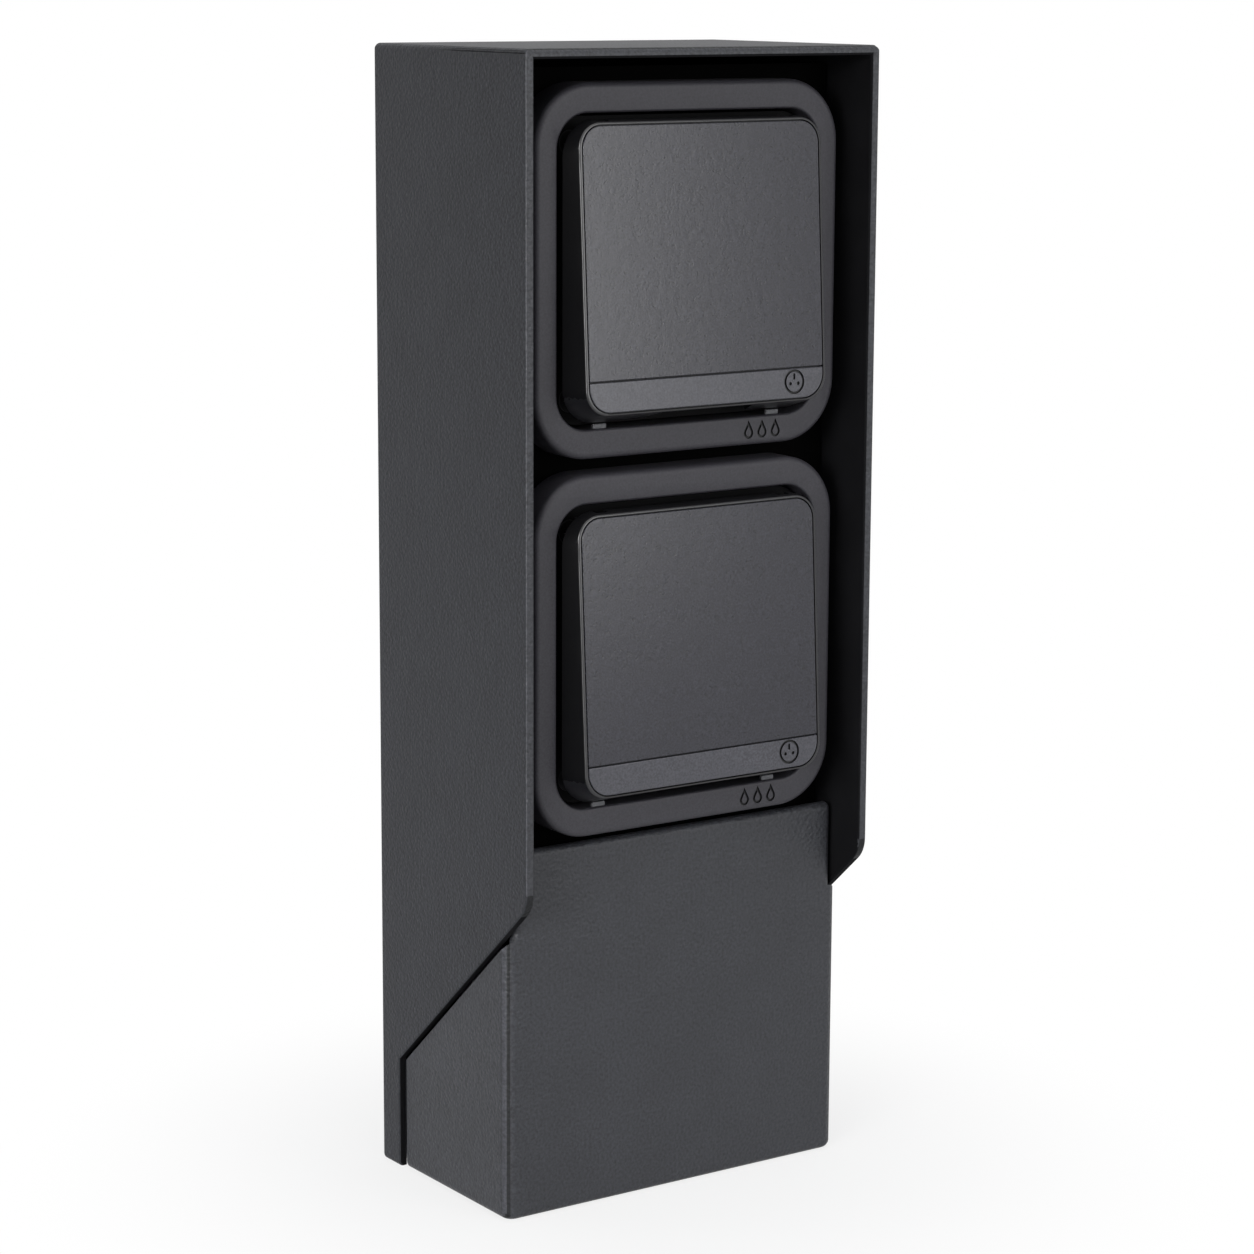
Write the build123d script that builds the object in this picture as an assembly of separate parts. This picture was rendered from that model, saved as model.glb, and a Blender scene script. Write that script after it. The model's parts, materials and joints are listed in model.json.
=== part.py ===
from build123d import *
import math
import os

# Garden socket post: a hood over two lidded sockets, on a base that hides the supply terminals.
# Millimetres. X is the width, -Y faces the user, +Z is up. The origin is on the ground, in the
# middle of the footprint.

os.makedirs("parts", exist_ok=True)

# Shared allowances
OVERRUN = 1.0          # how far a cutting tool runs past the face it leaves
SEAT_GAP = 0.3         # clearance of a soft or loosely seated piece
SLIP = 0.05            # radial clearance of a running or sliding fit

# Hood: folded sheet with top, back and two side walls
HOOD_WALL = 2.5
HOOD_SIDE_ROOM = 5.0           # between a socket frame and each side wall
HOOD_HEAD_ROOM = 6.0           # between the upper frame and the top wall
HOOD_CABLE_LANE = 14.8         # between the back boxes and the back wall
HOOD_FOLD_RADIUS = 1.6         # outer radius of the folded edges
HOOD_FOOT_RADIUS = 1.4         # eased outer edge where the hood stands on the ground
CUT_FRONT_HEIGHT = 86.2        # where the slanted cut leaves the front edge
CUT_REAR_HEIGHT = 30.4         # where it meets the rear strip
REAR_STRIP = 9.5               # depth of the strip that runs down to the ground
CUT_CORNER_RADIUS = 8.0        # rounding of the lower front corner of each side wall

# Base cover: front panel, two short sides and a tongue between the hood's walls
COVER_INSET = 1.0              # each side wall inside the hood's outer face
COVER_SETBACK = 10.7           # front panel behind the hood's front edges
COVER_WALL = 2.5
COVER_EDGE_RADIUS = 3.5
COVER_FOOT_RADIUS = 2.1        # eased outer edge where the cover stands on the ground
COVER_SLIT = 2.1               # upright gap between the cover and the hood's rear strip
COVER_SLANT_GAP = 1.65         # upright measure of the gap under the slanted cut
TONGUE_HEIGHT = 98.0
TONGUE_SIDE_GAP = 0.9
TONGUE_CORNER_RADIUS = 1.6
COVER_LUG_WIDTH = 12.0
COVER_LUG_HEIGHT = 14.0
COVER_LUG_CENTRE = 18.0        # height of the lugs that take the cover screws

# Socket frames
FRAME_BORDER_SIDE = 6.5        # beside the opening
FRAME_BORDER_END = 7.5         # above and below the opening
FRAME_RADIUS = 16.0
FRAME_DEPTH = 9.5
FRAME_SKIN = 2.2
FRAME_FRONT_RADIUS = 1.6
FRAME_INNER_RADIUS = 0.7
FRAME_SETBACK = 7.3            # frame front behind the hood's front edges
FRAME_GAP = 3.9                # between the two frames
FRAME_TONGUE_GAP = 2.4         # between the lower frame and the cover's tongue
OPENING_WIDTH = 80.6
OPENING_HEIGHT = 78.6
OPENING_RADIUS = 9.0

# Carrier behind the frames
CARRIER_SHEET = 1.5
CARRIER_SIDE_GAP = 0.4         # inside the cover's side walls
CARRIER_TOP_GAP = 2.5          # below the hood's top wall
CARRIER_OVERLAP = 26.0         # behind the cover's tongue
CARRIER_LIP = 12.0
CARRIER_LAND = 3.0             # carried by a back box's wall, round each cut-out
CARRIER_CUTOUT_RADIUS = 6.0

# Gasket between frame and carrier
GASKET_THICKNESS = 1.0
GASKET_WIDTH = 4.0

# Socket insert
INSERT_GAP = 0.8               # all round, inside the frame's opening
INSERT_SETBACK = 4.5           # insert face behind the frame's front
INSERT_SKIN = 2.2
INSERT_RADIUS = 8.2
WELL_RADIUS = 19.8
WELL_WALL = 2.4
WELL_DEPTH = 16.0
WELL_FLOOR = 2.2
COLLAR_RISE = 3.0              # collar round the well, in front of the insert's face
WELL_FLANGE_REACH = 1.0        # flange that holds the well behind the insert's face
WELL_FLANGE = 1.2
PIN_SPACING = 19.0             # between the two contact holes
CONTACT_HOLE_RADIUS = 2.9
EARTH_RISE = 10.0              # earth pin above the contact line
EARTH_PIN_RADIUS = 2.4
EARTH_PIN_REACH = 14.0         # how far it stands out of the well floor
INSERT_SCREW_INSET_X = 6.5     # screws in from the opening's sides
INSERT_SCREW_INSET_Z = 7.3
INSERT_BOSS_RADIUS = 3.6
INSERT_SCREW_RADIUS = 1.75
INSERT_SCREW_HEAD_RADIUS = 3.1
INSERT_SCREW_HEAD = 1.4

# Contact carrier behind the well floor
BLOCK_MARGIN = 13.5            # outside each contact
BLOCK_FLOOR = 2.6              # below the shutter spring's seat
BLOCK_DEPTH = 17.5
BLOCK_RADIUS = 3.0
SLEEVE_RADIUS = 3.1
SLEEVE_BORE_RADIUS = 2.45
SLEEVE_LENGTH = 13.0
CLAMP_SIZE = 7.6
CLAMP_BORE_RADIUS = 1.3
CLAMP_SCREW_RADIUS = 1.7
CLAMP_SCREW_LENGTH = 3.6
SCREW_SLOT_WIDTH = 0.6
SLOT_DEPTH_SHARE = 0.25        # slot depth over the screw's length
CROSS_REACH_SHARE = 0.7        # length of a cross recess over its head

# Shutter that slides down behind the well floor
SHUTTER_TRAVEL = 6.5
SHUTTER_THICKNESS = 1.6
SHUTTER_POCKET_GAP = 0.2       # each side of the shutter, front and back
SHUTTER_WINDOW_RADIUS = 3.1
SHUTTER_SIDE_LAND = 1.4        # outside each window
SHUTTER_LAND = 1.5             # material left round a window
SHUTTER_NOTCH_WIDTH = 7.0
SPRING_WIRE_RADIUS = 0.25
SHUTTER_SPRING_RADIUS = 1.9
SHUTTER_SPRING_LENGTH = 11.0
SHUTTER_SPRING_TURNS = 6

# Back box
BOX_WALL = 2.0
BOX_DEPTH = 36.0
BOX_RADIUS = 6.0
BOX_FLANGE_REACH = 4.0         # outside the box's wall
BOX_SCREW_MARGIN_X = 4.2       # flange outside the insert screws
BOX_SCREW_MARGIN_Z = 6.0
BOX_FLANGE = 2.0
BOX_ENTRY_RADIUS = 6.0
BOX_ENTRY_SETBACK = 24.0       # cable entry behind the box's flange
GROMMET_LIP = 1.6

# Lid
LID_TILT = 3.3                 # degrees, the front leans out at the bottom
LID_BACK_SETOUT = 0.5          # lid's rear rim in front of the frame's face
LID_TOP_THICKNESS = 4.25       # rear rim to front face, at the panel's top edge
LID_SIDE_GAP = 1.1             # rear rim inside the frame's opening
LID_TOP_GAP = 1.6
LID_BOTTOM_GAP = 1.9
LID_BACK_RADIUS = 9.0
LID_SIDE_TAPER = 2.0           # front rim inside the rear rim
LID_TOP_TAPER = 0.4
LID_BOTTOM_TAPER = 2.6
LID_FRONT_RADIUS = 6.4
LID_WALL = 1.8
LID_SKIN = 0.8                 # web left behind the inset panel
LID_RIM_RADIUS = 0.5
PANEL_SIDE_RIM = 1.0           # panel and strip inside the front rim
PANEL_TOP_RIM = 0.9
STRIP_BOTTOM_RIM = 0.7
STRIP_HEIGHT = 7.55
PANEL_THICKNESS = 1.2
PANEL_RADIUS = 5.5
PANEL_PROUD = 0.15
STRIP_RADIUS = 6.2
SEAM = 0.35                    # open line round the panel and the strip
GRIP_HALF_WIDTH = 14.0         # finger recess in the lid's lower wall
GRIP_FLARE = 3.5
GRIP_LIP = 0.7                 # left under the strip, in front of the recess

# Lid hinge
HINGE_DROP = 4.1               # hinge axis below the lid's rear rim
HINGE_SETOUT = 0.6             # hinge axis in front of the frame's face
HINGE_PIN_RADIUS = 1.0
HINGE_PIN_END = 0.7            # past the outer knuckles
KNUCKLE_RADIUS = 1.9
EAR_INSET = 10.7               # ears in from the lid's sides
EAR_WIDTH = 3.0
KNUCKLE_WIDTH = 4.0
EAR_SIDE_GAP = 0.3
LID_SPRING_WIRE_RADIUS = 0.3
LID_SPRING_COIL_RADIUS = 1.45
LID_SPRING_TURNS = 5
LID_SPRING_PITCH = 1.15

# Lid gasket and stop tabs
LID_SEAL_OVERLAP = 1.8         # outside the collar
LID_SEAL_WIDTH = 3.2
LID_SEAL_THICKNESS = 1.4
STOP_INSET = 13.3              # tabs in from the opening's sides
STOP_WIDTH = 4.6
STOP_HEIGHT = 1.7
STOP_DEPTH = 1.0

# Foot plate and its fixings
FOOT_SHEET = 3.0
FOOT_SIDE_GAP = 1.8            # inside the cover's side walls
FOOT_FRONT_GAP = 1.5           # behind the cover's front panel
FOOT_FLANGE_HEIGHT = 16.0
FOOT_HOLE_RADIUS = 3.5
FOOT_HOLE_INSET_X = 10.0
FOOT_HOLE_INSET_Y = 10.7
FOOT_CABLE_HOLE_RADIUS = 12.5
FOOT_SCREW_HEIGHT = 9.0
FOOT_SCREW_SPACING = 44.0
CABLE_GROMMET_LIP = 2.0
CABLE_GROMMET_BORE_RADIUS = 8.0
CABLE_GROMMET_RISE = 5.0

# Screws through the back of the hood
BACK_SCREW_RADIUS = 2.0
BACK_SCREW_LENGTH = 8.0
BACK_SCREW_HEAD_RADIUS = 3.8
BACK_SCREW_HEAD = 1.7
BACK_SCREW_SOCKET_RADIUS = 1.3
CHASSIS_SCREW_INSET_LOW = 12.0 # above the carrier's lower end
CHASSIS_SCREW_INSET_TOP = 17.0 # below its upper end

# Junction box on the back wall, with its terminal block
JUNCTION_WIDTH = 62.0
JUNCTION_HEIGHT = 40.0
JUNCTION_DEPTH = 30.0
JUNCTION_WALL = 2.0
JUNCTION_RADIUS = 3.0
JUNCTION_BOTTOM = 30.0
JUNCTION_COVER = 2.4
JUNCTION_SCREW_RADIUS = 1.4
JUNCTION_SCREW_INSET = 5.0
JUNCTION_POST_RADIUS = 3.2
GLAND_RADIUS = 7.5
GLAND_LENGTH = 8.0
GLAND_THREAD_RADIUS = 5.5
GLAND_SPACING = 22.0
BLOCK_WAY_PITCH = 10.0
BLOCK_WAYS = 3
TERMINAL_HEIGHT = 18.0
TERMINAL_DEPTH = 13.0
TERMINAL_SCREW_RADIUS = 1.9

# Cables and leads
CABLE_RADIUS = 3.6
LEAD_RADIUS = 1.2
LEAD_CIRCLE = 1.9              # leads stand on this radius where the sheath ends
SHEATH_END = 3.0               # sheath inside a box, past its wall
FEED_STRAIGHT = 10.0           # from a gland up to a feed's first bend point
FEED_RISE = 16.0               # from a feed's last bend point up to a back box
FEED_OVER = 5.0                # bend point of the upper feed above the lower back box
LEAD_STRAIGHT = 4.0
LEAD_CLIMB = 10.5              # from the sheath's end up to the lane behind the contact carrier
ARC_SHARE = 0.45               # share of the shorter run that an arc may take
CLIP_WIDTH = 8.0
CLIP_WALL = 1.4
CLIP_DROP = 27.2               # first clip below the lower socket's centre
CLIP_SPACING = 28.0

# Sizes worked out from the sizes above
FRAME_WIDTH = OPENING_WIDTH + 2 * FRAME_BORDER_SIDE
FRAME_HEIGHT = OPENING_HEIGHT + 2 * FRAME_BORDER_END
FRAME_PITCH = FRAME_HEIGHT + FRAME_GAP
LOWER_CENTRE = TONGUE_HEIGHT + FRAME_TONGUE_GAP + FRAME_HEIGHT / 2
UPPER_CENTRE = LOWER_CENTRE + FRAME_PITCH
SIDE_INNER = FRAME_WIDTH / 2 + HOOD_SIDE_ROOM
TOP_INNER = UPPER_CENTRE + FRAME_HEIGHT / 2 + HOOD_HEAD_ROOM
HOOD_WIDTH = 2 * (SIDE_INNER + HOOD_WALL)
HOOD_HEIGHT = TOP_INNER + HOOD_WALL
HOOD_DEPTH = (FRAME_SETBACK + FRAME_DEPTH + GASKET_THICKNESS + CARRIER_SHEET + BOX_DEPTH
              + HOOD_CABLE_LANE + HOOD_WALL)
COVER_WIDTH = HOOD_WIDTH - 2 * COVER_INSET
CARRIER_TOP = TOP_INNER - CARRIER_TOP_GAP
CARRIER_BOTTOM = TONGUE_HEIGHT - CARRIER_OVERLAP
INSERT_SCREW_X = OPENING_WIDTH / 2 - INSERT_SCREW_INSET_X
INSERT_SCREW_Z = OPENING_HEIGHT / 2 - INSERT_SCREW_INSET_Z
BOX_FLANGE_WIDTH = 2 * (INSERT_SCREW_X + BOX_SCREW_MARGIN_X)
BOX_FLANGE_HEIGHT = 2 * (INSERT_SCREW_Z + BOX_SCREW_MARGIN_Z)
BOX_WIDTH = BOX_FLANGE_WIDTH - 2 * BOX_FLANGE_REACH
BOX_HEIGHT = BOX_FLANGE_HEIGHT - 2 * BOX_FLANGE_REACH
SHUTTER_WIDTH = PIN_SPACING + 2 * (SHUTTER_WINDOW_RADIUS + SHUTTER_SIDE_LAND)
LID_BACK_HALF_WIDTH = OPENING_WIDTH / 2 - LID_SIDE_GAP
LID_BACK_TOP = OPENING_HEIGHT / 2 - LID_TOP_GAP
LID_BACK_BOTTOM = OPENING_HEIGHT / 2 - LID_BOTTOM_GAP
LID_FRONT_HALF_WIDTH = LID_BACK_HALF_WIDTH - LID_SIDE_TAPER
LID_FRONT_TOP = LID_BACK_TOP - LID_TOP_TAPER
LID_FRONT_BOTTOM = LID_BACK_BOTTOM - LID_BOTTOM_TAPER
PANEL_HALF_WIDTH = LID_FRONT_HALF_WIDTH - PANEL_SIDE_RIM
PANEL_TOP = LID_FRONT_TOP - PANEL_TOP_RIM
STRIP_BOTTOM = LID_FRONT_BOTTOM - STRIP_BOTTOM_RIM
PANEL_BOTTOM = STRIP_BOTTOM - STRIP_HEIGHT - SEAM
HINGE_RISE = LID_BACK_TOP - HINGE_DROP
EAR_CENTRE_X = LID_BACK_HALF_WIDTH - EAR_INSET
HINGE_PIN_LENGTH = 2 * (EAR_CENTRE_X + EAR_WIDTH / 2 + EAR_SIDE_GAP + KNUCKLE_WIDTH + HINGE_PIN_END)
WELL_OUTER_RADIUS = WELL_RADIUS + WELL_WALL
LID_SEAL_RADIUS = WELL_OUTER_RADIUS + LID_SEAL_OVERLAP
STOP_X = OPENING_WIDTH / 2 - STOP_INSET

# Places worked out from the sizes above
FRONT = -HOOD_DEPTH / 2
BACK = HOOD_DEPTH / 2
BACK_INNER = BACK - HOOD_WALL
FRAME_FACE = FRONT + FRAME_SETBACK
FRAME_REAR = FRAME_FACE + FRAME_DEPTH
CARRIER_FACE = FRAME_REAR + GASKET_THICKNESS
CARRIER_REAR = CARRIER_FACE + CARRIER_SHEET
INSERT_FACE = FRAME_FACE + INSERT_SETBACK
COLLAR_FACE = INSERT_FACE - COLLAR_RISE
FLOOR_FACE = COLLAR_FACE + WELL_DEPTH
FLOOR_REAR = FLOOR_FACE + WELL_FLOOR
POCKET_DEPTH = SHUTTER_THICKNESS + 2 * SHUTTER_POCKET_GAP
BLOCK_REAR = FLOOR_REAR + BLOCK_DEPTH
BOX_REAR = CARRIER_REAR + BOX_DEPTH
COVER_FACE = FRONT + COVER_SETBACK
LID_BACK = FRAME_FACE - LID_BACK_SETOUT
HINGE_Y = FRAME_FACE - HINGE_SETOUT
CENTRES = {"upper": UPPER_CENTRE, "lower": LOWER_CENTRE}


def box(x0, x1, y0, y1, z0, z1):
    """A block between two corners."""
    return Pos((x0 + x1) / 2, (y0 + y1) / 2, (z0 + z1) / 2) * Box(x1 - x0, y1 - y0, z1 - z0)


def rod_x(x0, x1, y, z, radius):
    """A cylinder along X."""
    return Pos((x0 + x1) / 2, y, z) * Rot(0, 90, 0) * Cylinder(radius, x1 - x0)


def rod_y(x, y0, y1, z, radius):
    """A cylinder along Y."""
    return Pos(x, (y0 + y1) / 2, z) * Rot(90, 0, 0) * Cylinder(radius, y1 - y0)


def rod_z(x, y, z0, z1, radius):
    """A cylinder along Z."""
    return Pos(x, y, (z0 + z1) / 2) * Cylinder(radius, z1 - z0)


def facing(y):
    """A sketch plane that looks out of the front, with its own x to the right and y up."""
    return Plane(origin=(0, y, 0), x_dir=(1, 0, 0), z_dir=(0, -1, 0))


def slab(width, height, radius, y0, y1, x=0.0, z=0.0):
    """A rounded rectangle between two depths."""
    outline = facing(y1) * Pos(x, z) * RectangleRounded(width, height, radius)
    return extrude(outline, amount=y1 - y0)


def side_profile(points, x0, x1):
    """A prism across the width from (y, z) corners."""
    plane = Plane(origin=(x0, 0, 0), x_dir=(0, 1, 0), z_dir=(1, 0, 0))
    return extrude(plane * make_face(Polyline(*points, close=True)), amount=x1 - x0)


def node(name, *shapes):
    """Writes one named piece."""
    shape = shapes[0] if len(shapes) == 1 else Compound(children=list(shapes))
    export_step(shape, f"parts/{name}.step")
    print(f"{name}: volume {sum(s.volume for s in shapes):.1f}")
    return shape


def ground_edges(shell, inner_x, inner_y):
    """Edges on the ground outside a half width, or past a depth on the way out."""
    edges = shell.edges().group_by(Axis.Z)[0].filter_by(GeomType.LINE, reverse=True)
    for edge in shell.edges().group_by(Axis.Z)[0].filter_by(GeomType.LINE):
        middle = edge.center()
        beside = abs(middle.X) > inner_x + SLIP and abs(edge.tangent_at(0).Y) > abs(edge.tangent_at(0).X)
        beyond = abs(middle.Y) > abs(inner_y) + SLIP and middle.Y * inner_y > 0
        if beside or (beyond and abs(edge.tangent_at(0).X) > abs(edge.tangent_at(0).Y)):
            edges.append(edge)
    return edges


# Hood
CUT_SLOPE = (CUT_FRONT_HEIGHT - CUT_REAR_HEIGHT) / (HOOD_DEPTH - REAR_STRIP)
STRIP_FRONT = BACK - REAR_STRIP


def make_hood():
    shell = box(-HOOD_WIDTH / 2, HOOD_WIDTH / 2, FRONT, BACK, 0, HOOD_HEIGHT)
    folds = shell.edges().filter_by(Axis.Z).group_by(Axis.Y)[-1]
    folds += shell.edges().group_by(Axis.Z)[-1]
    shell = fillet(folds, HOOD_FOLD_RADIUS)
    shell -= box(-SIDE_INNER, SIDE_INNER, FRONT - OVERRUN, BACK_INNER, -OVERRUN, TOP_INNER)
    past = FRONT - OVERRUN
    rise = CUT_FRONT_HEIGHT + OVERRUN * CUT_SLOPE
    low = -OVERRUN
    cut = side_profile([(past, low), (STRIP_FRONT, low), (STRIP_FRONT, CUT_REAR_HEIGHT), (past, rise)],
                       -HOOD_WIDTH / 2 - OVERRUN, HOOD_WIDTH / 2 + OVERRUN)
    shell -= cut
    corners = [e for e in shell.edges().filter_by(Axis.X)
               if abs(e.center().Y - FRONT) < OVERRUN and abs(e.center().Z - CUT_FRONT_HEIGHT) < OVERRUN]
    shell = fillet(corners, CUT_CORNER_RADIUS)
    shell = fillet(ground_edges(shell, SIDE_INNER, BACK_INNER), HOOD_FOOT_RADIUS)
    for x, z in chassis_screw_places():
        shell -= rod_y(x, BACK_INNER - OVERRUN, BACK + OVERRUN, z, BACK_SCREW_RADIUS)
    for x in (-1, 1):
        shell -= rod_y(x * COVER_SCREW_X, BACK_INNER - OVERRUN, BACK + OVERRUN, COVER_LUG_CENTRE,
                       BACK_SCREW_RADIUS)
        shell -= rod_y(x * FOOT_SCREW_SPACING / 2, BACK_INNER - OVERRUN, BACK + OVERRUN,
                       FOOT_SCREW_HEIGHT, BACK_SCREW_RADIUS)
    return shell


CARRIER_HALF = COVER_WIDTH / 2 - COVER_WALL - CARRIER_SIDE_GAP
CHASSIS_SCREW_X = CARRIER_HALF - CARRIER_SHEET - CARRIER_LIP / 2
CHASSIS_SCREW_LOW = CARRIER_BOTTOM + CHASSIS_SCREW_INSET_LOW
CHASSIS_SCREW_HIGH = CARRIER_TOP - CHASSIS_SCREW_INSET_TOP
COVER_SCREW_X = COVER_WIDTH / 2 - COVER_WALL - COVER_LUG_WIDTH / 2


def make_base_cover():
    half = COVER_WIDTH / 2
    tongue = SIDE_INNER - TONGUE_SIDE_GAP
    rear = STRIP_FRONT - COVER_SLIT
    rear_top = CUT_REAR_HEIGHT + COVER_SLIT * CUT_SLOPE - COVER_SLANT_GAP
    front_top = rear_top + (rear - COVER_FACE) * CUT_SLOPE
    outline = [(COVER_FACE, 0), (rear, 0), (rear, rear_top), (COVER_FACE, front_top)]
    body = side_profile(outline, -half, half)
    body = fillet(body.edges().filter_by(Axis.Z).group_by(Axis.Y)[0], COVER_EDGE_RADIUS)
    body -= box(-half + COVER_WALL, half - COVER_WALL, COVER_FACE + COVER_WALL, rear + OVERRUN,
                -OVERRUN, TONGUE_HEIGHT + OVERRUN)
    panel = box(-tongue, tongue, COVER_FACE, COVER_FACE + COVER_WALL, 0, TONGUE_HEIGHT)
    panel = fillet(panel.edges().filter_by(Axis.Z).group_by(Axis.Y)[0], COVER_WALL - SEAT_GAP)
    top_corners = panel.edges().filter_by(Axis.Y).group_by(Axis.Z)[-1]
    panel = fillet(top_corners, TONGUE_CORNER_RADIUS)
    body += panel
    body = fillet(ground_edges(body, half - COVER_WALL, COVER_FACE + COVER_WALL), COVER_FOOT_RADIUS)
    lug_top = COVER_LUG_CENTRE + COVER_LUG_HEIGHT / 2
    lug_low = COVER_LUG_CENTRE - COVER_LUG_HEIGHT / 2
    for x in (-1, 1):
        inner = half - COVER_WALL
        arm = box(x * inner - (COVER_WALL if x > 0 else 0), x * inner + (0 if x > 0 else COVER_WALL),
                  rear - COVER_LUG_HEIGHT, BACK_INNER, lug_low, lug_top)
        lug_ends = sorted((x * inner, x * (inner - COVER_LUG_WIDTH)))
        lug = box(*lug_ends, BACK_INNER - COVER_WALL, BACK_INNER, lug_low, lug_top)
        body += arm
        body += lug
        body -= rod_y(x * COVER_SCREW_X, BACK_INNER - COVER_WALL - OVERRUN, BACK_INNER + OVERRUN,
                      COVER_LUG_CENTRE, BACK_SCREW_RADIUS)
    return body


# Socket carrier: a black channel with the two cut-outs
def make_socket_carrier():
    half = CARRIER_HALF
    channel = box(-half, half, CARRIER_FACE, BACK_INNER, CARRIER_BOTTOM, CARRIER_TOP)
    channel -= box(-half + CARRIER_SHEET, half - CARRIER_SHEET, CARRIER_REAR, BACK_INNER - CARRIER_SHEET,
                   CARRIER_BOTTOM - OVERRUN, CARRIER_TOP + OVERRUN)
    gap = half - CARRIER_SHEET - CARRIER_LIP
    channel -= box(-gap, gap, BACK_INNER - CARRIER_SHEET - OVERRUN, BACK_INNER + OVERRUN,
                   CARRIER_BOTTOM - OVERRUN, CARRIER_TOP + OVERRUN)
    for centre in CENTRES.values():
        channel -= slab(BOX_WIDTH - 2 * CARRIER_LAND, BOX_HEIGHT - 2 * CARRIER_LAND, CARRIER_CUTOUT_RADIUS,
                        CARRIER_FACE - OVERRUN, CARRIER_REAR + OVERRUN, 0, centre)
        for x in (-1, 1):
            for z in (-1, 1):
                channel -= rod_y(x * INSERT_SCREW_X, CARRIER_FACE - OVERRUN, CARRIER_REAR + OVERRUN,
                                 centre + z * INSERT_SCREW_Z, INSERT_SCREW_RADIUS + SLIP)
    for x in (-1, 1):
        for z in (CHASSIS_SCREW_LOW, CHASSIS_SCREW_HIGH):
            channel -= rod_y(x * CHASSIS_SCREW_X, BACK_INNER - CARRIER_SHEET - OVERRUN,
                             BACK_INNER + OVERRUN, z, BACK_SCREW_RADIUS)
    return channel


# Foot plate with an upturned rear flange
FOOT_FRONT = COVER_FACE + COVER_WALL + FOOT_FRONT_GAP
FOOT_CENTRE_Y = (FOOT_FRONT + BACK_INNER) / 2
FOOT_WIDTH = COVER_WIDTH - 2 * COVER_WALL - 2 * FOOT_SIDE_GAP
FOOT_HOLE_SPACING_X = FOOT_WIDTH - 2 * FOOT_HOLE_INSET_X
FOOT_HOLE_SPACING_Y = BACK_INNER - FOOT_FRONT - 2 * FOOT_HOLE_INSET_Y


def make_foot_plate():
    half = FOOT_WIDTH / 2
    plate = box(-half, half, FOOT_FRONT, BACK_INNER, 0, FOOT_SHEET)
    flange = (FOOT_SCREW_SPACING + FOOT_FLANGE_HEIGHT) / 2
    plate += box(-flange, flange, BACK_INNER - FOOT_SHEET, BACK_INNER, 0, FOOT_FLANGE_HEIGHT)
    for x in (-1, 1):
        for y in (-1, 1):
            plate -= rod_z(x * FOOT_HOLE_SPACING_X / 2, FOOT_CENTRE_Y + y * FOOT_HOLE_SPACING_Y / 2,
                           -OVERRUN, FOOT_SHEET + OVERRUN, FOOT_HOLE_RADIUS)
        plate -= rod_y(x * FOOT_SCREW_SPACING / 2, BACK_INNER - FOOT_SHEET - OVERRUN, BACK_INNER + OVERRUN,
                       FOOT_SCREW_HEIGHT, BACK_SCREW_RADIUS)
    plate -= rod_z(0, FOOT_CENTRE_Y, -OVERRUN, FOOT_SHEET + OVERRUN, FOOT_CABLE_HOLE_RADIUS)
    return plate


def make_cable_grommet():
    lip = FOOT_CABLE_HOLE_RADIUS + CABLE_GROMMET_LIP
    body = rod_z(0, FOOT_CENTRE_Y, 0, FOOT_SHEET + CABLE_GROMMET_RISE, FOOT_CABLE_HOLE_RADIUS)
    body += rod_z(0, FOOT_CENTRE_Y, FOOT_SHEET, FOOT_SHEET + CABLE_GROMMET_LIP, lip)
    return body - rod_z(0, FOOT_CENTRE_Y, -OVERRUN, FOOT_SHEET + CABLE_GROMMET_RISE + OVERRUN,
                        CABLE_GROMMET_BORE_RADIUS)


def chassis_screw_places():
    """Four screws hold the carrier and two hold the junction box."""
    places = [(x * CHASSIS_SCREW_X, z) for x in (-1, 1) for z in (CHASSIS_SCREW_LOW, CHASSIS_SCREW_HIGH)]
    return places + [(x * JUNCTION_SCREW_X, JUNCTION_Z) for x in (-1, 1)]


def back_screw(x, z):
    """A socket head screw driven in from behind the hood."""
    screw = rod_y(x, BACK - BACK_SCREW_LENGTH, BACK, z, BACK_SCREW_RADIUS)
    screw += rod_y(x, BACK, BACK + BACK_SCREW_HEAD, z, BACK_SCREW_HEAD_RADIUS)
    return screw - rod_y(x, BACK + BACK_SCREW_HEAD / 2, BACK + BACK_SCREW_HEAD + OVERRUN, z,
                         BACK_SCREW_SOCKET_RADIUS)


# Socket frame
def make_frame(centre):
    ring = slab(FRAME_WIDTH, FRAME_HEIGHT, FRAME_RADIUS, FRAME_FACE, FRAME_REAR, 0, centre)
    ring = fillet(ring.edges().group_by(Axis.Y)[0], FRAME_FRONT_RADIUS)
    ring -= slab(OPENING_WIDTH, OPENING_HEIGHT, OPENING_RADIUS, FRAME_FACE - OVERRUN, FRAME_REAR + OVERRUN,
                 0, centre)
    inner = [e for e in ring.edges().group_by(Axis.Y)[0]
             if abs(e.center().X) < OPENING_WIDTH / 2 + OVERRUN
             and abs(e.center().Z - centre) < OPENING_HEIGHT / 2 + OVERRUN]
    ring = fillet(inner, FRAME_INNER_RADIUS)
    groove = slab(FRAME_WIDTH - 2 * FRAME_SKIN, FRAME_HEIGHT - 2 * FRAME_SKIN, FRAME_RADIUS - FRAME_SKIN,
                  FRAME_FACE + FRAME_SKIN, FRAME_REAR + OVERRUN, 0, centre)
    groove -= slab(OPENING_WIDTH + 2 * FRAME_SKIN, OPENING_HEIGHT + 2 * FRAME_SKIN,
                   OPENING_RADIUS + FRAME_SKIN, FRAME_FACE, FRAME_REAR + 2 * OVERRUN, 0, centre)
    return ring - groove


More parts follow.
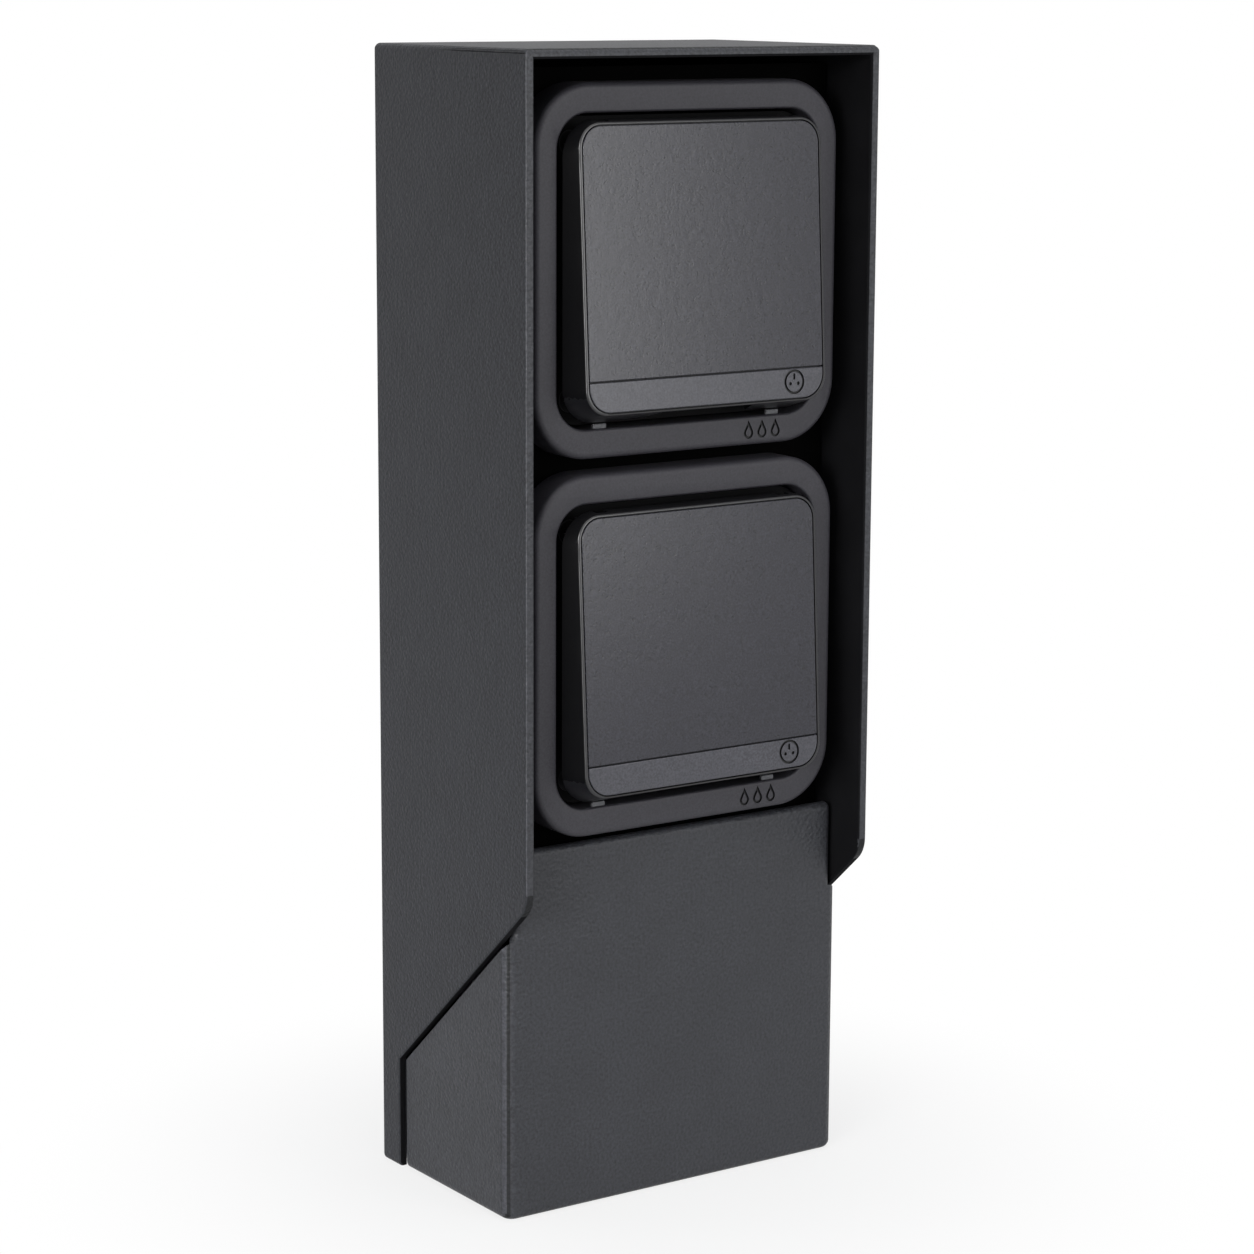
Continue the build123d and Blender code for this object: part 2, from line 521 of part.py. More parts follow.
def make_frame_gasket(centre):
    width, height = FRAME_WIDTH - 2 * FRAME_SKIN, FRAME_HEIGHT - 2 * FRAME_SKIN
    radius = FRAME_RADIUS - FRAME_SKIN
    rim = slab(width, height, radius, FRAME_REAR, CARRIER_FACE, 0, centre)
    return rim - slab(width - 2 * GASKET_WIDTH, height - 2 * GASKET_WIDTH, radius - GASKET_WIDTH,
                      FRAME_REAR - OVERRUN, CARRIER_FACE + OVERRUN, 0, centre)


# Socket insert: face plate and skirt, with the ears of the lid hinge
def make_socket_insert(centre):
    width = OPENING_WIDTH - 2 * INSERT_GAP
    height = OPENING_HEIGHT - 2 * INSERT_GAP
    body = slab(width, height, INSERT_RADIUS, INSERT_FACE, CARRIER_FACE, 0, centre)
    body -= slab(width - 2 * INSERT_SKIN, height - 2 * INSERT_SKIN, INSERT_RADIUS - INSERT_SKIN,
                 INSERT_FACE + INSERT_SKIN, CARRIER_FACE + OVERRUN, 0, centre)
    for x in (-1, 1):
        for z in (-1, 1):
            body += rod_y(x * INSERT_SCREW_X, INSERT_FACE, CARRIER_FACE, centre + z * INSERT_SCREW_Z,
                          INSERT_BOSS_RADIUS)
    body -= rod_y(0, INSERT_FACE - OVERRUN, CARRIER_FACE + OVERRUN, centre, WELL_OUTER_RADIUS + SLIP)
    for x in (-1, 1):
        for z in (-1, 1):
            place = (x * INSERT_SCREW_X, centre + z * INSERT_SCREW_Z)
            body -= rod_y(place[0], INSERT_FACE - OVERRUN, CARRIER_FACE + OVERRUN, place[1],
                          INSERT_SCREW_RADIUS + SLIP)
            body -= rod_y(place[0], INSERT_FACE - OVERRUN, INSERT_FACE + INSERT_SCREW_HEAD, place[1],
                          INSERT_SCREW_HEAD_RADIUS + SLIP)
    axis_z = centre + HINGE_RISE
    for x in (-1, 1):
        x0 = x * EAR_CENTRE_X - EAR_WIDTH / 2
        ear = box(x0, x0 + EAR_WIDTH, HINGE_Y, INSERT_FACE + INSERT_SKIN / 2, axis_z - KNUCKLE_RADIUS,
                  axis_z + KNUCKLE_RADIUS)
        ear += rod_x(x0, x0 + EAR_WIDTH, HINGE_Y, axis_z, KNUCKLE_RADIUS)
        body += ear
        body -= rod_x(x0 - OVERRUN, x0 + EAR_WIDTH + OVERRUN, HINGE_Y, axis_z, HINGE_PIN_RADIUS)
    return body


def make_socket_well(centre):
    """The cup that takes the plug, with its collar in front and a flange behind the insert's face."""
    body = rod_y(0, COLLAR_FACE, FLOOR_REAR, centre, WELL_OUTER_RADIUS)
    flange_front = INSERT_FACE + INSERT_SKIN
    body += rod_y(0, flange_front, flange_front + WELL_FLANGE, centre, WELL_OUTER_RADIUS + WELL_FLANGE_REACH)
    body -= rod_y(0, COLLAR_FACE - OVERRUN, FLOOR_FACE, centre, WELL_RADIUS)
    for x in (-1, 1):
        body -= rod_y(x * PIN_SPACING / 2, FLOOR_FACE - OVERRUN, FLOOR_REAR + OVERRUN, centre,
                      CONTACT_HOLE_RADIUS)
    return body - rod_y(0, FLOOR_FACE - OVERRUN, FLOOR_REAR + OVERRUN, centre + EARTH_RISE, EARTH_PIN_RADIUS)


# Contact carrier: the rear moulding with the shutter pocket and the contact bores
POCKET_TOP = SHUTTER_TRAVEL + SHUTTER_WINDOW_RADIUS + SHUTTER_LAND
POCKET_BOTTOM = CONTACT_HOLE_RADIUS + SHUTTER_LAND + SHUTTER_TRAVEL
CLAMP_FRONT = FLOOR_REAR + POCKET_DEPTH + SLEEVE_LENGTH - CLAMP_SIZE
SPRING_SEAT = CONTACT_HOLE_RADIUS + SHUTTER_LAND + SHUTTER_SPRING_LENGTH
BLOCK_WIDTH = PIN_SPACING + 2 * BLOCK_MARGIN
BLOCK_HEIGHT = 2 * (SPRING_SEAT + BLOCK_FLOOR)


def clamp_places(centre):
    """The three wire clamps: two on the contact line and one on the earth pin."""
    return [(-PIN_SPACING / 2, centre), (PIN_SPACING / 2, centre), (0, centre + EARTH_RISE)]


def make_contact_carrier(centre):
    block = slab(BLOCK_WIDTH, BLOCK_HEIGHT, BLOCK_RADIUS, FLOOR_REAR, BLOCK_REAR, 0, centre)
    half = SHUTTER_WIDTH / 2 + SLIP
    block -= box(-half, half, FLOOR_REAR - OVERRUN, FLOOR_REAR + POCKET_DEPTH,
                 centre - POCKET_BOTTOM, centre + POCKET_TOP + SLIP)
    nest = SHUTTER_SPRING_RADIUS + SPRING_WIRE_RADIUS + SEAT_GAP
    block -= box(-nest, nest, FLOOR_REAR - OVERRUN, FLOOR_REAR + SHUTTER_POCKET_GAP + 2 * nest,
                 centre - SPRING_SEAT, centre + POCKET_TOP)
    for x, z in clamp_places(centre):
        reach = SLEEVE_RADIUS + SLIP if z == centre else EARTH_PIN_RADIUS + SLIP
        block -= rod_y(x, FLOOR_REAR - OVERRUN, CLAMP_FRONT + OVERRUN, z, reach)
        side = CLAMP_SIZE / 2 + SLIP
        block -= box(x - side, x + side, CLAMP_FRONT, BLOCK_REAR + OVERRUN, z - side, z + side)
    return block


def wire_clamp(x, z):
    """A brass clamp block with its wire bore and screw hole."""
    side = CLAMP_SIZE / 2
    block = box(x - side, x + side, CLAMP_FRONT, CLAMP_FRONT + CLAMP_SIZE, z - side, z + side)
    middle = CLAMP_FRONT + CLAMP_SIZE / 2
    return block - rod_y(x, middle, CLAMP_FRONT + CLAMP_SIZE + OVERRUN, z - CLAMP_BORE_RADIUS,
                         LEAD_RADIUS + SLIP)


def make_contact_sleeve(x, centre):
    start = FLOOR_REAR + POCKET_DEPTH
    sleeve = rod_y(x, start, CLAMP_FRONT, centre, SLEEVE_RADIUS)
    sleeve += wire_clamp(x, centre)
    return sleeve - rod_y(x, start - OVERRUN, CLAMP_FRONT - LEAD_RADIUS, centre, SLEEVE_BORE_RADIUS)


def make_earth_pin(centre):
    tip = FLOOR_FACE - EARTH_PIN_REACH
    pin = rod_y(0, tip, CLAMP_FRONT, centre + EARTH_RISE, EARTH_PIN_RADIUS)
    pin = fillet(pin.edges().group_by(Axis.Y)[0], EARTH_PIN_RADIUS / 2)
    return pin + wire_clamp(0, centre + EARTH_RISE)


def make_terminal_screws(centre):
    screws = []
    for x, z in clamp_places(centre):
        rear = CLAMP_FRONT + CLAMP_SIZE
        place = z + CLAMP_SIZE / 2 - CLAMP_SCREW_RADIUS
        screw = rod_y(x, rear, rear + CLAMP_SCREW_LENGTH, place, CLAMP_SCREW_RADIUS)
        tip = rear + CLAMP_SCREW_LENGTH
        slot = box(x - CLAMP_SCREW_RADIUS, x + CLAMP_SCREW_RADIUS,
                   tip - SLOT_DEPTH_SHARE * CLAMP_SCREW_LENGTH, tip + OVERRUN, place - SCREW_SLOT_WIDTH / 2, place + SCREW_SLOT_WIDTH / 2)
        screws.append(screw - slot)
    return screws


# Shutter: slides down until its windows meet the contact holes
def make_shutter(centre):
    low = centre - CONTACT_HOLE_RADIUS - SHUTTER_LAND
    high = centre + POCKET_TOP
    front = FLOOR_REAR + SHUTTER_POCKET_GAP
    rear = front + SHUTTER_THICKNESS
    plate = box(-SHUTTER_WIDTH / 2, SHUTTER_WIDTH / 2, front, rear, low, high)
    notch_low = centre + EARTH_RISE - EARTH_PIN_RADIUS - SEAT_GAP - SHUTTER_LAND / 2
    plate -= box(-SHUTTER_NOTCH_WIDTH / 2, SHUTTER_NOTCH_WIDTH / 2, front - OVERRUN, rear + OVERRUN,
                 notch_low, high + OVERRUN)
    for x in (-1, 1):
        plate -= rod_y(x * PIN_SPACING / 2, front - OVERRUN, rear + OVERRUN, centre + SHUTTER_TRAVEL,
                       SHUTTER_WINDOW_RADIUS)
    return plate


def coil_points(radius, pitch, turns, place):
    """Quarter-turn points and tangents of a helix; place turns (angle, along) into a point."""
    steps = int(turns * 4)
    points = []
    for i in range(steps + 1):
        angle = i * math.pi / 2
        points.append(place(radius * math.cos(angle), radius * math.sin(angle), pitch * i / 4))
    slope = pitch / (2 * math.pi)
    tangents = []
    for i in range(steps + 1):
        angle = i * math.pi / 2
        ahead = place(-radius * math.sin(angle), radius * math.cos(angle), slope)
        tangents.append((ahead - place(0, 0, 0)).normalized())
    return points, tangents


def biarc(start, end, t0, t1):
    """Two arcs that leave start along t0 and reach end along t1."""
    v = end - start
    t = t0 + t1
    a = 2 * (1 - t0.dot(t1))
    b = 2 * v.dot(t)
    d = (-b + math.sqrt(b * b + 4 * a * v.dot(v))) / (2 * a)
    middle = (start + t0 * d + end - t1 * d) * 0.5
    first = TangentArc(start, middle, tangent=t0)
    second = TangentArc(middle, end, tangent=first % 1)
    return [first, second]


def coil_wire(radius, pitch, turns, place):
    """A helix as one chain of arcs."""
    points, tangents = coil_points(radius, pitch, turns, place)
    arcs = []
    for i in range(len(points) - 1):
        arcs += biarc(points[i], points[i + 1], tangents[i], tangents[i + 1])
    return arcs


def tube(edges, wire_radius):
    """A round wire swept along joined edges."""
    path = Wire(edges)
    start = path @ 0
    section = Plane(origin=start, z_dir=path % 0) * Circle(wire_radius)
    return sweep(section, path=path)


def make_shutter_spring(centre):
    pitch = (SHUTTER_SPRING_LENGTH - 2 * SPRING_WIRE_RADIUS - 2 * SLIP) / SHUTTER_SPRING_TURNS
    top = centre - CONTACT_HOLE_RADIUS - SHUTTER_LAND - SPRING_WIRE_RADIUS - SLIP
    middle = FLOOR_REAR + SHUTTER_POCKET_GAP + SHUTTER_SPRING_RADIUS + SPRING_WIRE_RADIUS

    def place(u, v, along):
        return Vector(u, middle + v, top - along)

    arcs = coil_wire(SHUTTER_SPRING_RADIUS, pitch, SHUTTER_SPRING_TURNS, place)
    print(f"shutter spring gap between turns {pitch - 2 * SPRING_WIRE_RADIUS:.2f}")
    return tube(arcs, SPRING_WIRE_RADIUS)


# Lid
TILT = math.radians(LID_TILT)


def lid_face(z):
    """Depth of the lid's front face at a height above the socket's centre."""
    return LID_BACK - LID_TOP_THICKNESS - (PANEL_TOP - z) * math.tan(TILT)


def lid_outline(half, top, bottom, radius, plane, scale_z=1.0):
    width = 2 * half
    height = (top + bottom) * scale_z
    return plane * Pos(0, (top - bottom) / 2 * scale_z) * RectangleRounded(width, height, radius)


def lid_plane(centre, sunk=0.0):
    """Plane of the lid's front face, or one sunk behind it; its origin is level with the centre."""
    inward = Vector(0, math.cos(TILT), -math.sin(TILT))
    origin = Vector(0, lid_face(0), centre) + inward * sunk
    return Plane(origin=origin, x_dir=(1, 0, 0), z_dir=-inward)


def make_lid(centre):
    back = facing(LID_BACK) * Pos(0, centre)
    along = 1 / math.cos(TILT)
    outer = loft([lid_outline(LID_BACK_HALF_WIDTH, LID_BACK_TOP, LID_BACK_BOTTOM, LID_BACK_RADIUS, back),
                  lid_outline(LID_FRONT_HALF_WIDTH, LID_FRONT_TOP, LID_FRONT_BOTTOM, LID_FRONT_RADIUS,
                              lid_plane(centre), along)])
    front_edges = outer.faces().sort_by(Axis.Y)[0].edges()
    outer = fillet(front_edges, LID_RIM_RADIUS)
    skin = PANEL_THICKNESS + LID_SKIN
    inner_front = lid_plane(centre, skin)
    inner_back = facing(LID_BACK + OVERRUN) * Pos(0, centre)
    wall = LID_WALL
    hollow = loft([lid_outline(LID_BACK_HALF_WIDTH - wall, LID_BACK_TOP - wall, LID_BACK_BOTTOM - wall,
                               LID_BACK_RADIUS - wall, inner_back),
                   lid_outline(LID_FRONT_HALF_WIDTH - wall, LID_FRONT_TOP - wall, LID_FRONT_BOTTOM - wall,
                               LID_FRONT_RADIUS - wall, inner_front, along)])
    shell = outer - hollow
    recess = extrude(panel_outline(centre, SEAM) + strip_outline(centre, SEAM), amount=-PANEL_THICKNESS)
    recess += extrude(panel_outline(centre, SEAM) + strip_outline(centre, SEAM), amount=OVERRUN)
    shell -= recess
    # Finger recess in the lower wall
    low = centre - LID_BACK_BOTTOM - OVERRUN
    high = centre - STRIP_BOTTOM - SEAM - LID_RIM_RADIUS
    reach = LID_BACK + OVERRUN
    deep = lid_face(-STRIP_BOTTOM) + GRIP_LIP
    grip = Plane(origin=(0, 0, low), z_dir=(0, 0, 1)) * make_face(Polyline(
        (-GRIP_HALF_WIDTH, deep), (GRIP_HALF_WIDTH, deep), (GRIP_HALF_WIDTH + GRIP_FLARE, reach),
        (-GRIP_HALF_WIDTH - GRIP_FLARE, reach), close=True))
    shell -= extrude(grip, amount=high - low)
    # Knuckles round the hinge pin, and notches that clear the insert's ears
    axis_z = centre + HINGE_RISE
    for x in (-1, 1):
        start = x * EAR_CENTRE_X + (EAR_WIDTH / 2 + EAR_SIDE_GAP) * x
        end = start + KNUCKLE_WIDTH * x
        low_x, high_x = min(start, end), max(start, end)
        knuckle = rod_x(low_x, high_x, HINGE_Y, axis_z, KNUCKLE_RADIUS)
        knuckle += box(low_x, high_x, HINGE_Y - KNUCKLE_RADIUS, HINGE_Y + KNUCKLE_RADIUS,
                       axis_z, centre + LID_BACK_TOP - LID_WALL + SEAM)
        shell += knuckle
        shell -= rod_x(low_x - OVERRUN, high_x + OVERRUN, HINGE_Y, axis_z, HINGE_PIN_RADIUS + SLIP)
        notch = EAR_WIDTH / 2 + EAR_SIDE_GAP
        shell -= box(x * EAR_CENTRE_X - notch, x * EAR_CENTRE_X + notch, HINGE_Y - KNUCKLE_RADIUS - SEAT_GAP,
                     LID_BACK + OVERRUN, axis_z - KNUCKLE_RADIUS - SEAT_GAP, centre + LID_BACK_TOP + OVERRUN)
    # Seat ring that presses the gasket on the collar
    ring_rear = COLLAR_FACE - SEAT_GAP - LID_SEAL_THICKNESS
    ring = rod_y(0, lid_face(0) + PANEL_THICKNESS + LID_SKIN / 2, ring_rear, centre, LID_SEAL_RADIUS)
    ring -= rod_y(0, lid_face(0) - OVERRUN, ring_rear + OVERRUN, centre, LID_SEAL_RADIUS - LID_SEAL_WIDTH)
    ring -= extrude(lid_outline(LID_FRONT_HALF_WIDTH, LID_FRONT_TOP, LID_FRONT_BOTTOM, LID_FRONT_RADIUS,
                                lid_plane(centre, PANEL_THICKNESS + LID_SKIN / 2)), amount=2 * FRAME_DEPTH)
    return shell + ring


def panel_outline(centre, grow=0.0):
    """Outline of the inset panel on the lid's face, rounded at its top corners."""
    plane = lid_plane(centre)
    half = PANEL_HALF_WIDTH + grow
    stretch = 1 / math.cos(TILT)
    top = (PANEL_TOP + grow) * stretch
    low = -(PANEL_BOTTOM + grow) * stretch
    radius = PANEL_RADIUS + grow
    face = Pos(0, (top + low) / 2) * Rectangle(2 * half, top - low)
    face = fillet(face.vertices().group_by(Axis.Y)[-1], radius)
    return plane * face


def strip_outline(centre, grow=0.0):
    """Outline of the label strip below the panel, rounded at its lower corners."""
    plane = lid_plane(centre)
    half = PANEL_HALF_WIDTH + grow
    stretch = 1 / math.cos(TILT)
    top = (-PANEL_BOTTOM - SEAM + grow) * stretch
    low = -(STRIP_BOTTOM + grow) * stretch
    face = Pos(0, (top + low) / 2) * Rectangle(2 * half, top - low)
    face = fillet(face.vertices().group_by(Axis.Y)[0], STRIP_RADIUS + grow)
    return plane * face


def make_lid_panel(centre):
    panel = extrude(panel_outline(centre), amount=-PANEL_THICKNESS)
    return panel + extrude(panel_outline(centre), amount=PANEL_PROUD)


def make_lid_strip(centre):
    strip = extrude(strip_outline(centre), amount=-PANEL_THICKNESS)
    return strip + extrude(strip_outline(centre), amount=PANEL_PROUD)


def make_lid_gasket(centre):
    front = COLLAR_FACE - SEAT_GAP - LID_SEAL_THICKNESS
    rear = COLLAR_FACE - SEAT_GAP
    ring = rod_y(0, front, rear, centre, LID_SEAL_RADIUS)
    return ring - rod_y(0, front - OVERRUN, rear + OVERRUN, centre, LID_SEAL_RADIUS - LID_SEAL_WIDTH)


def make_hinge_pin(centre):
    return rod_x(-HINGE_PIN_LENGTH / 2, HINGE_PIN_LENGTH / 2, HINGE_Y, centre + HINGE_RISE, HINGE_PIN_RADIUS)


def make_lid_springs(centre):
    """Two closing springs on the hinge pin, inboard of the ears, each with a leg on the insert."""
    springs = []
    axis_z = centre + HINGE_RISE
    start_x = EAR_CENTRE_X - EAR_WIDTH / 2 - LID_SPRING_WIRE_RADIUS - SLIP
    for side in (-1, 1):
        def place(u, v, along):
            return Vector(side * (start_x - along), HINGE_Y + v, axis_z - u)
        arcs = coil_wire(LID_SPRING_COIL_RADIUS, LID_SPRING_PITCH, LID_SPRING_TURNS, place)
        reach = INSERT_FACE - LID_SPRING_WIRE_RADIUS - HINGE_Y
        end = arcs[-1] @ 1
        leg = Line(end, end + (arcs[-1] % 1) * reach)
        springs.append(tube(arcs + [leg], LID_SPRING_WIRE_RADIUS))
    print(f"lid spring gap between turns {LID_SPRING_PITCH - 2 * LID_SPRING_WIRE_RADIUS:.2f}")
    return springs


def make_insert_screws(centre):
    screws = []
    for x in (-1, 1):
        for z in (-1, 1):
            px, pz = x * INSERT_SCREW_X, centre + z * INSERT_SCREW_Z
            screw = rod_y(px, INSERT_FACE, INSERT_FACE + INSERT_SCREW_HEAD, pz, INSERT_SCREW_HEAD_RADIUS)
            screw += rod_y(px, INSERT_FACE, CARRIER_REAR + BOX_FLANGE + OVERRUN, pz, INSERT_SCREW_RADIUS)
            slot = SCREW_SLOT_WIDTH / 2
            reach = CROSS_REACH_SHARE * INSERT_SCREW_HEAD_RADIUS
            deep = INSERT_FACE + INSERT_SCREW_HEAD / 2
            screw -= box(px - reach, px + reach, INSERT_FACE - OVERRUN, deep, pz - slot, pz + slot)
            screw -= box(px - slot, px + slot, INSERT_FACE - OVERRUN, deep, pz - reach, pz + reach)
            screws.append(screw)
    return screws


def make_lid_stops(centre):
    tabs = []
    low = centre - OPENING_HEIGHT / 2
    for x in (-1, 1):
        tabs.append(box(x * STOP_X - STOP_WIDTH / 2, x * STOP_X + STOP_WIDTH / 2,
                        FRAME_FACE + FRAME_INNER_RADIUS, FRAME_FACE + FRAME_INNER_RADIUS + STOP_DEPTH,
                        low, low + STOP_HEIGHT))
    return tabs


# Back box
BOX_ENTRY_Y = CARRIER_REAR + BOX_ENTRY_SETBACK


def make_back_box(centre):
    body = slab(BOX_WIDTH, BOX_HEIGHT, BOX_RADIUS, CARRIER_REAR, BOX_REAR, 0, centre)
    body += slab(BOX_FLANGE_WIDTH, BOX_FLANGE_HEIGHT, BOX_RADIUS + BOX_WALL, CARRIER_REAR,
                 CARRIER_REAR + BOX_FLANGE, 0, centre)
    body -= slab(BOX_WIDTH - 2 * BOX_WALL, BOX_HEIGHT - 2 * BOX_WALL, BOX_RADIUS - BOX_WALL,
                 CARRIER_REAR - OVERRUN, BOX_REAR - BOX_WALL, 0, centre)
    low = centre - BOX_HEIGHT / 2
    body -= rod_z(0, BOX_ENTRY_Y, low - OVERRUN, low + BOX_WALL + OVERRUN, BOX_ENTRY_RADIUS)
    for x in (-1, 1):
        for z in (-1, 1):
            px, pz = x * INSERT_SCREW_X, centre + z * INSERT_SCREW_Z
            boss = rod_y(px, CARRIER_REAR, CARRIER_REAR + BOX_FLANGE * 3, pz, INSERT_BOSS_RADIUS)
            body += boss
            body -= rod_y(px, CARRIER_REAR - OVERRUN, CARRIER_REAR + BOX_FLANGE * 2.5, pz,
                          INSERT_SCREW_RADIUS)
    return body


def make_box_grommet(centre):
    low = centre - BOX_HEIGHT / 2
    body = rod_z(0, BOX_ENTRY_Y, low - GROMMET_LIP, low + BOX_WALL + GROMMET_LIP, BOX_ENTRY_RADIUS)
    body += rod_z(0, BOX_ENTRY_Y, low - GROMMET_LIP, low, BOX_ENTRY_RADIUS + GROMMET_LIP)
    return body - rod_z(0, BOX_ENTRY_Y, low - GROMMET_LIP - OVERRUN, low + BOX_WALL + GROMMET_LIP + OVERRUN,
                        CABLE_RADIUS)


# Junction box on the hood's back wall
JUNCTION_TOP = JUNCTION_BOTTOM + JUNCTION_HEIGHT
JUNCTION_FRONT = BACK_INNER - JUNCTION_DEPTH
JUNCTION_MIDDLE = BACK_INNER - JUNCTION_DEPTH / 2
JUNCTION_Z = JUNCTION_BOTTOM + JUNCTION_HEIGHT / 2
JUNCTION_SCREW_X = JUNCTION_WIDTH / 2 - JUNCTION_SCREW_INSET
GLAND_PLACES = [(0, JUNCTION_BOTTOM, -1), (-GLAND_SPACING / 2, JUNCTION_TOP, 1),
                (GLAND_SPACING / 2, JUNCTION_TOP, 1)]


def junction_corners():
    """Places of the four cover screws."""
    high = JUNCTION_HEIGHT / 2 - JUNCTION_SCREW_INSET
    return [(x * JUNCTION_SCREW_X, JUNCTION_Z + z * high) for x in (-1, 1) for z in (-1, 1)]


def make_junction_box():
    body = slab(JUNCTION_WIDTH, JUNCTION_HEIGHT, JUNCTION_RADIUS, JUNCTION_FRONT, BACK_INNER, 0, JUNCTION_Z)
    body -= slab(JUNCTION_WIDTH - 2 * JUNCTION_WALL, JUNCTION_HEIGHT - 2 * JUNCTION_WALL,
                 JUNCTION_RADIUS - JUNCTION_WALL, JUNCTION_FRONT - OVERRUN, BACK_INNER - JUNCTION_WALL,
                 0, JUNCTION_Z)
    for x, z in junction_corners():
        body += rod_y(x, JUNCTION_FRONT, BACK_INNER, z, JUNCTION_POST_RADIUS)
        body -= rod_y(x, JUNCTION_FRONT - OVERRUN, JUNCTION_MIDDLE, z, JUNCTION_SCREW_RADIUS)
    for x, z, _ in GLAND_PLACES:
        body -= rod_z(x, JUNCTION_MIDDLE, z - JUNCTION_WALL - OVERRUN, z + JUNCTION_WALL + OVERRUN,
                      GLAND_THREAD_RADIUS)
    for x in (-1, 1):
        body -= rod_y(x * JUNCTION_SCREW_X, BACK - BACK_SCREW_LENGTH, BACK_INNER + OVERRUN, JUNCTION_Z,
                      BACK_SCREW_RADIUS)
    return body


def make_junction_box_cover():
    cover = slab(JUNCTION_WIDTH, JUNCTION_HEIGHT, JUNCTION_RADIUS, JUNCTION_FRONT - JUNCTION_COVER,
                 JUNCTION_FRONT, 0, JUNCTION_Z)
    for x, z in junction_corners():
        cover -= rod_y(x, JUNCTION_FRONT - JUNCTION_COVER - OVERRUN, JUNCTION_FRONT + OVERRUN, z,
                       JUNCTION_SCREW_RADIUS)
    return cover


def make_junction_box_screws():
    screws = []
    face = JUNCTION_FRONT - JUNCTION_COVER
    for x, z in junction_corners():
        screw = rod_y(x, face, JUNCTION_MIDDLE - SEAT_GAP, z, JUNCTION_SCREW_RADIUS)
        screws.append(screw + rod_y(x, face - JUNCTION_SCREW_RADIUS, face, z, 2 * JUNCTION_SCREW_RADIUS))
    return screws


def make_junction_box_glands():
    """One gland below for the supply and two above for the feeds."""
    glands = []
    for x, z, way in GLAND_PLACES:
        outside = z + way * GLAND_LENGTH
        inside = z - way * (JUNCTION_WALL + OVERRUN)
        gland = rod_z(x, JUNCTION_MIDDLE, min(z, outside), max(z, outside), GLAND_RADIUS)
        gland += rod_z(x, JUNCTION_MIDDLE, min(z, inside), max(z, inside), GLAND_THREAD_RADIUS)
        low, high = min(inside, outside) - OVERRUN, max(inside, outside) + OVERRUN
        glands.append(gland - rod_z(x, JUNCTION_MIDDLE, low, high, CABLE_RADIUS))
    return glands


def make_terminal_block():
    length = BLOCK_WAY_PITCH * BLOCK_WAYS
    rear = BACK_INNER - JUNCTION_WALL
    front = rear - TERMINAL_DEPTH
    block = box(-length / 2, length / 2, front, rear, JUNCTION_Z - TERMINAL_HEIGHT / 2,
                JUNCTION_Z + TERMINAL_HEIGHT / 2)
    for i in range(BLOCK_WAYS):
        x = (i - (BLOCK_WAYS - 1) / 2) * BLOCK_WAY_PITCH
        for z in (-1, 1):
            place = JUNCTION_Z + z * TERMINAL_HEIGHT / 4
            block -= rod_y(x, front - OVERRUN, front + TERMINAL_DEPTH / 2, place,
                           TERMINAL_SCREW_RADIUS + SLIP)
            mouth = JUNCTION_Z + z * TERMINAL_HEIGHT / 2
            reach = TERMINAL_HEIGHT / 4
            block -= rod_z(x, rear - TERMINAL_DEPTH / 3, mouth - reach, mouth + reach, LEAD_RADIUS + SLIP)
    return block


def make_terminal_block_screws():
    screws = []
    front = BACK_INNER - JUNCTION_WALL - TERMINAL_DEPTH
    for i in range(BLOCK_WAYS):
        x = (i - (BLOCK_WAYS - 1) / 2) * BLOCK_WAY_PITCH
        for z in (-1, 1):
            place = JUNCTION_Z + z * TERMINAL_HEIGHT / 4
            screws.append(rod_y(x, front + TERMINAL_SCREW_RADIUS, front + TERMINAL_DEPTH / 2, place,
                                TERMINAL_SCREW_RADIUS))
    return screws


# Cables held all the way, from the junction box to each back box
def arc_radii(points):
    """The largest arc that the two runs at each corner allow."""
    radii = []
    for a, b, c in zip(points, points[1:], points[2:]):
        before, after = b - a, c - b
        turn = math.radians(before.get_angle(after))
        radii.append(ARC_SHARE * min(before.length, after.length) / math.tan(turn / 2))
    return radii


def held_tube(name, points, radius):
    """A round tube along straight runs joined by arcs, with its bends and volume printed."""
    points = [Vector(*p) for p in points]
    radii = arc_radii(points)
    path = FilletPolyline(*points, radius=radii)
    start = Plane(origin=points[0], z_dir=points[1] - points[0])
    solid = sweep(start * Circle(radius), path=path)
    share = solid.volume / (math.pi * radius ** 2 * path.length)
    print(f"{name}: bends {[round(r, 1) for r in radii]}, length {path.length:.1f}, volume ratio {share:.4f}")
    return solid


CABLE_BACK_Y = (BOX_REAR + BACK_INNER) / 2


def feed_start(x):
    """The first two points of a feed: inside its gland and straight out of it."""
    inside = JUNCTION_TOP - JUNCTION_WALL - SHEATH_END
    bend = JUNCTION_TOP + GLAND_LENGTH + FEED_STRAIGHT
    return [(x, JUNCTION_MIDDLE, inside), (x, JUNCTION_MIDDLE, bend)]


def feed_end(centre):
    """The last two points of a feed: below a back box's entry and inside the box."""
    entry = centre - BOX_HEIGHT / 2
    return [(0, BOX_ENTRY_Y, entry - FEED_RISE), (0, BOX_ENTRY_Y, entry + BOX_WALL + SHEATH_END)]


def make_lower_feed_cable():
    points = feed_start(-GLAND_SPACING / 2) + feed_end(CENTRES["lower"])
    return held_tube("lower feed", points, CABLE_RADIUS)


def make_upper_feed_cable():
    x = GLAND_SPACING / 2
    lower = CENTRES["lower"]
    behind = [(x, CABLE_BACK_Y, lower - BOX_HEIGHT / 2 - GLAND_LENGTH),
              (x, CABLE_BACK_Y, lower + BOX_HEIGHT / 2 + FEED_OVER)]
    return held_tube("upper feed", feed_start(x) + behind + feed_end(CENTRES["upper"]), CABLE_RADIUS)


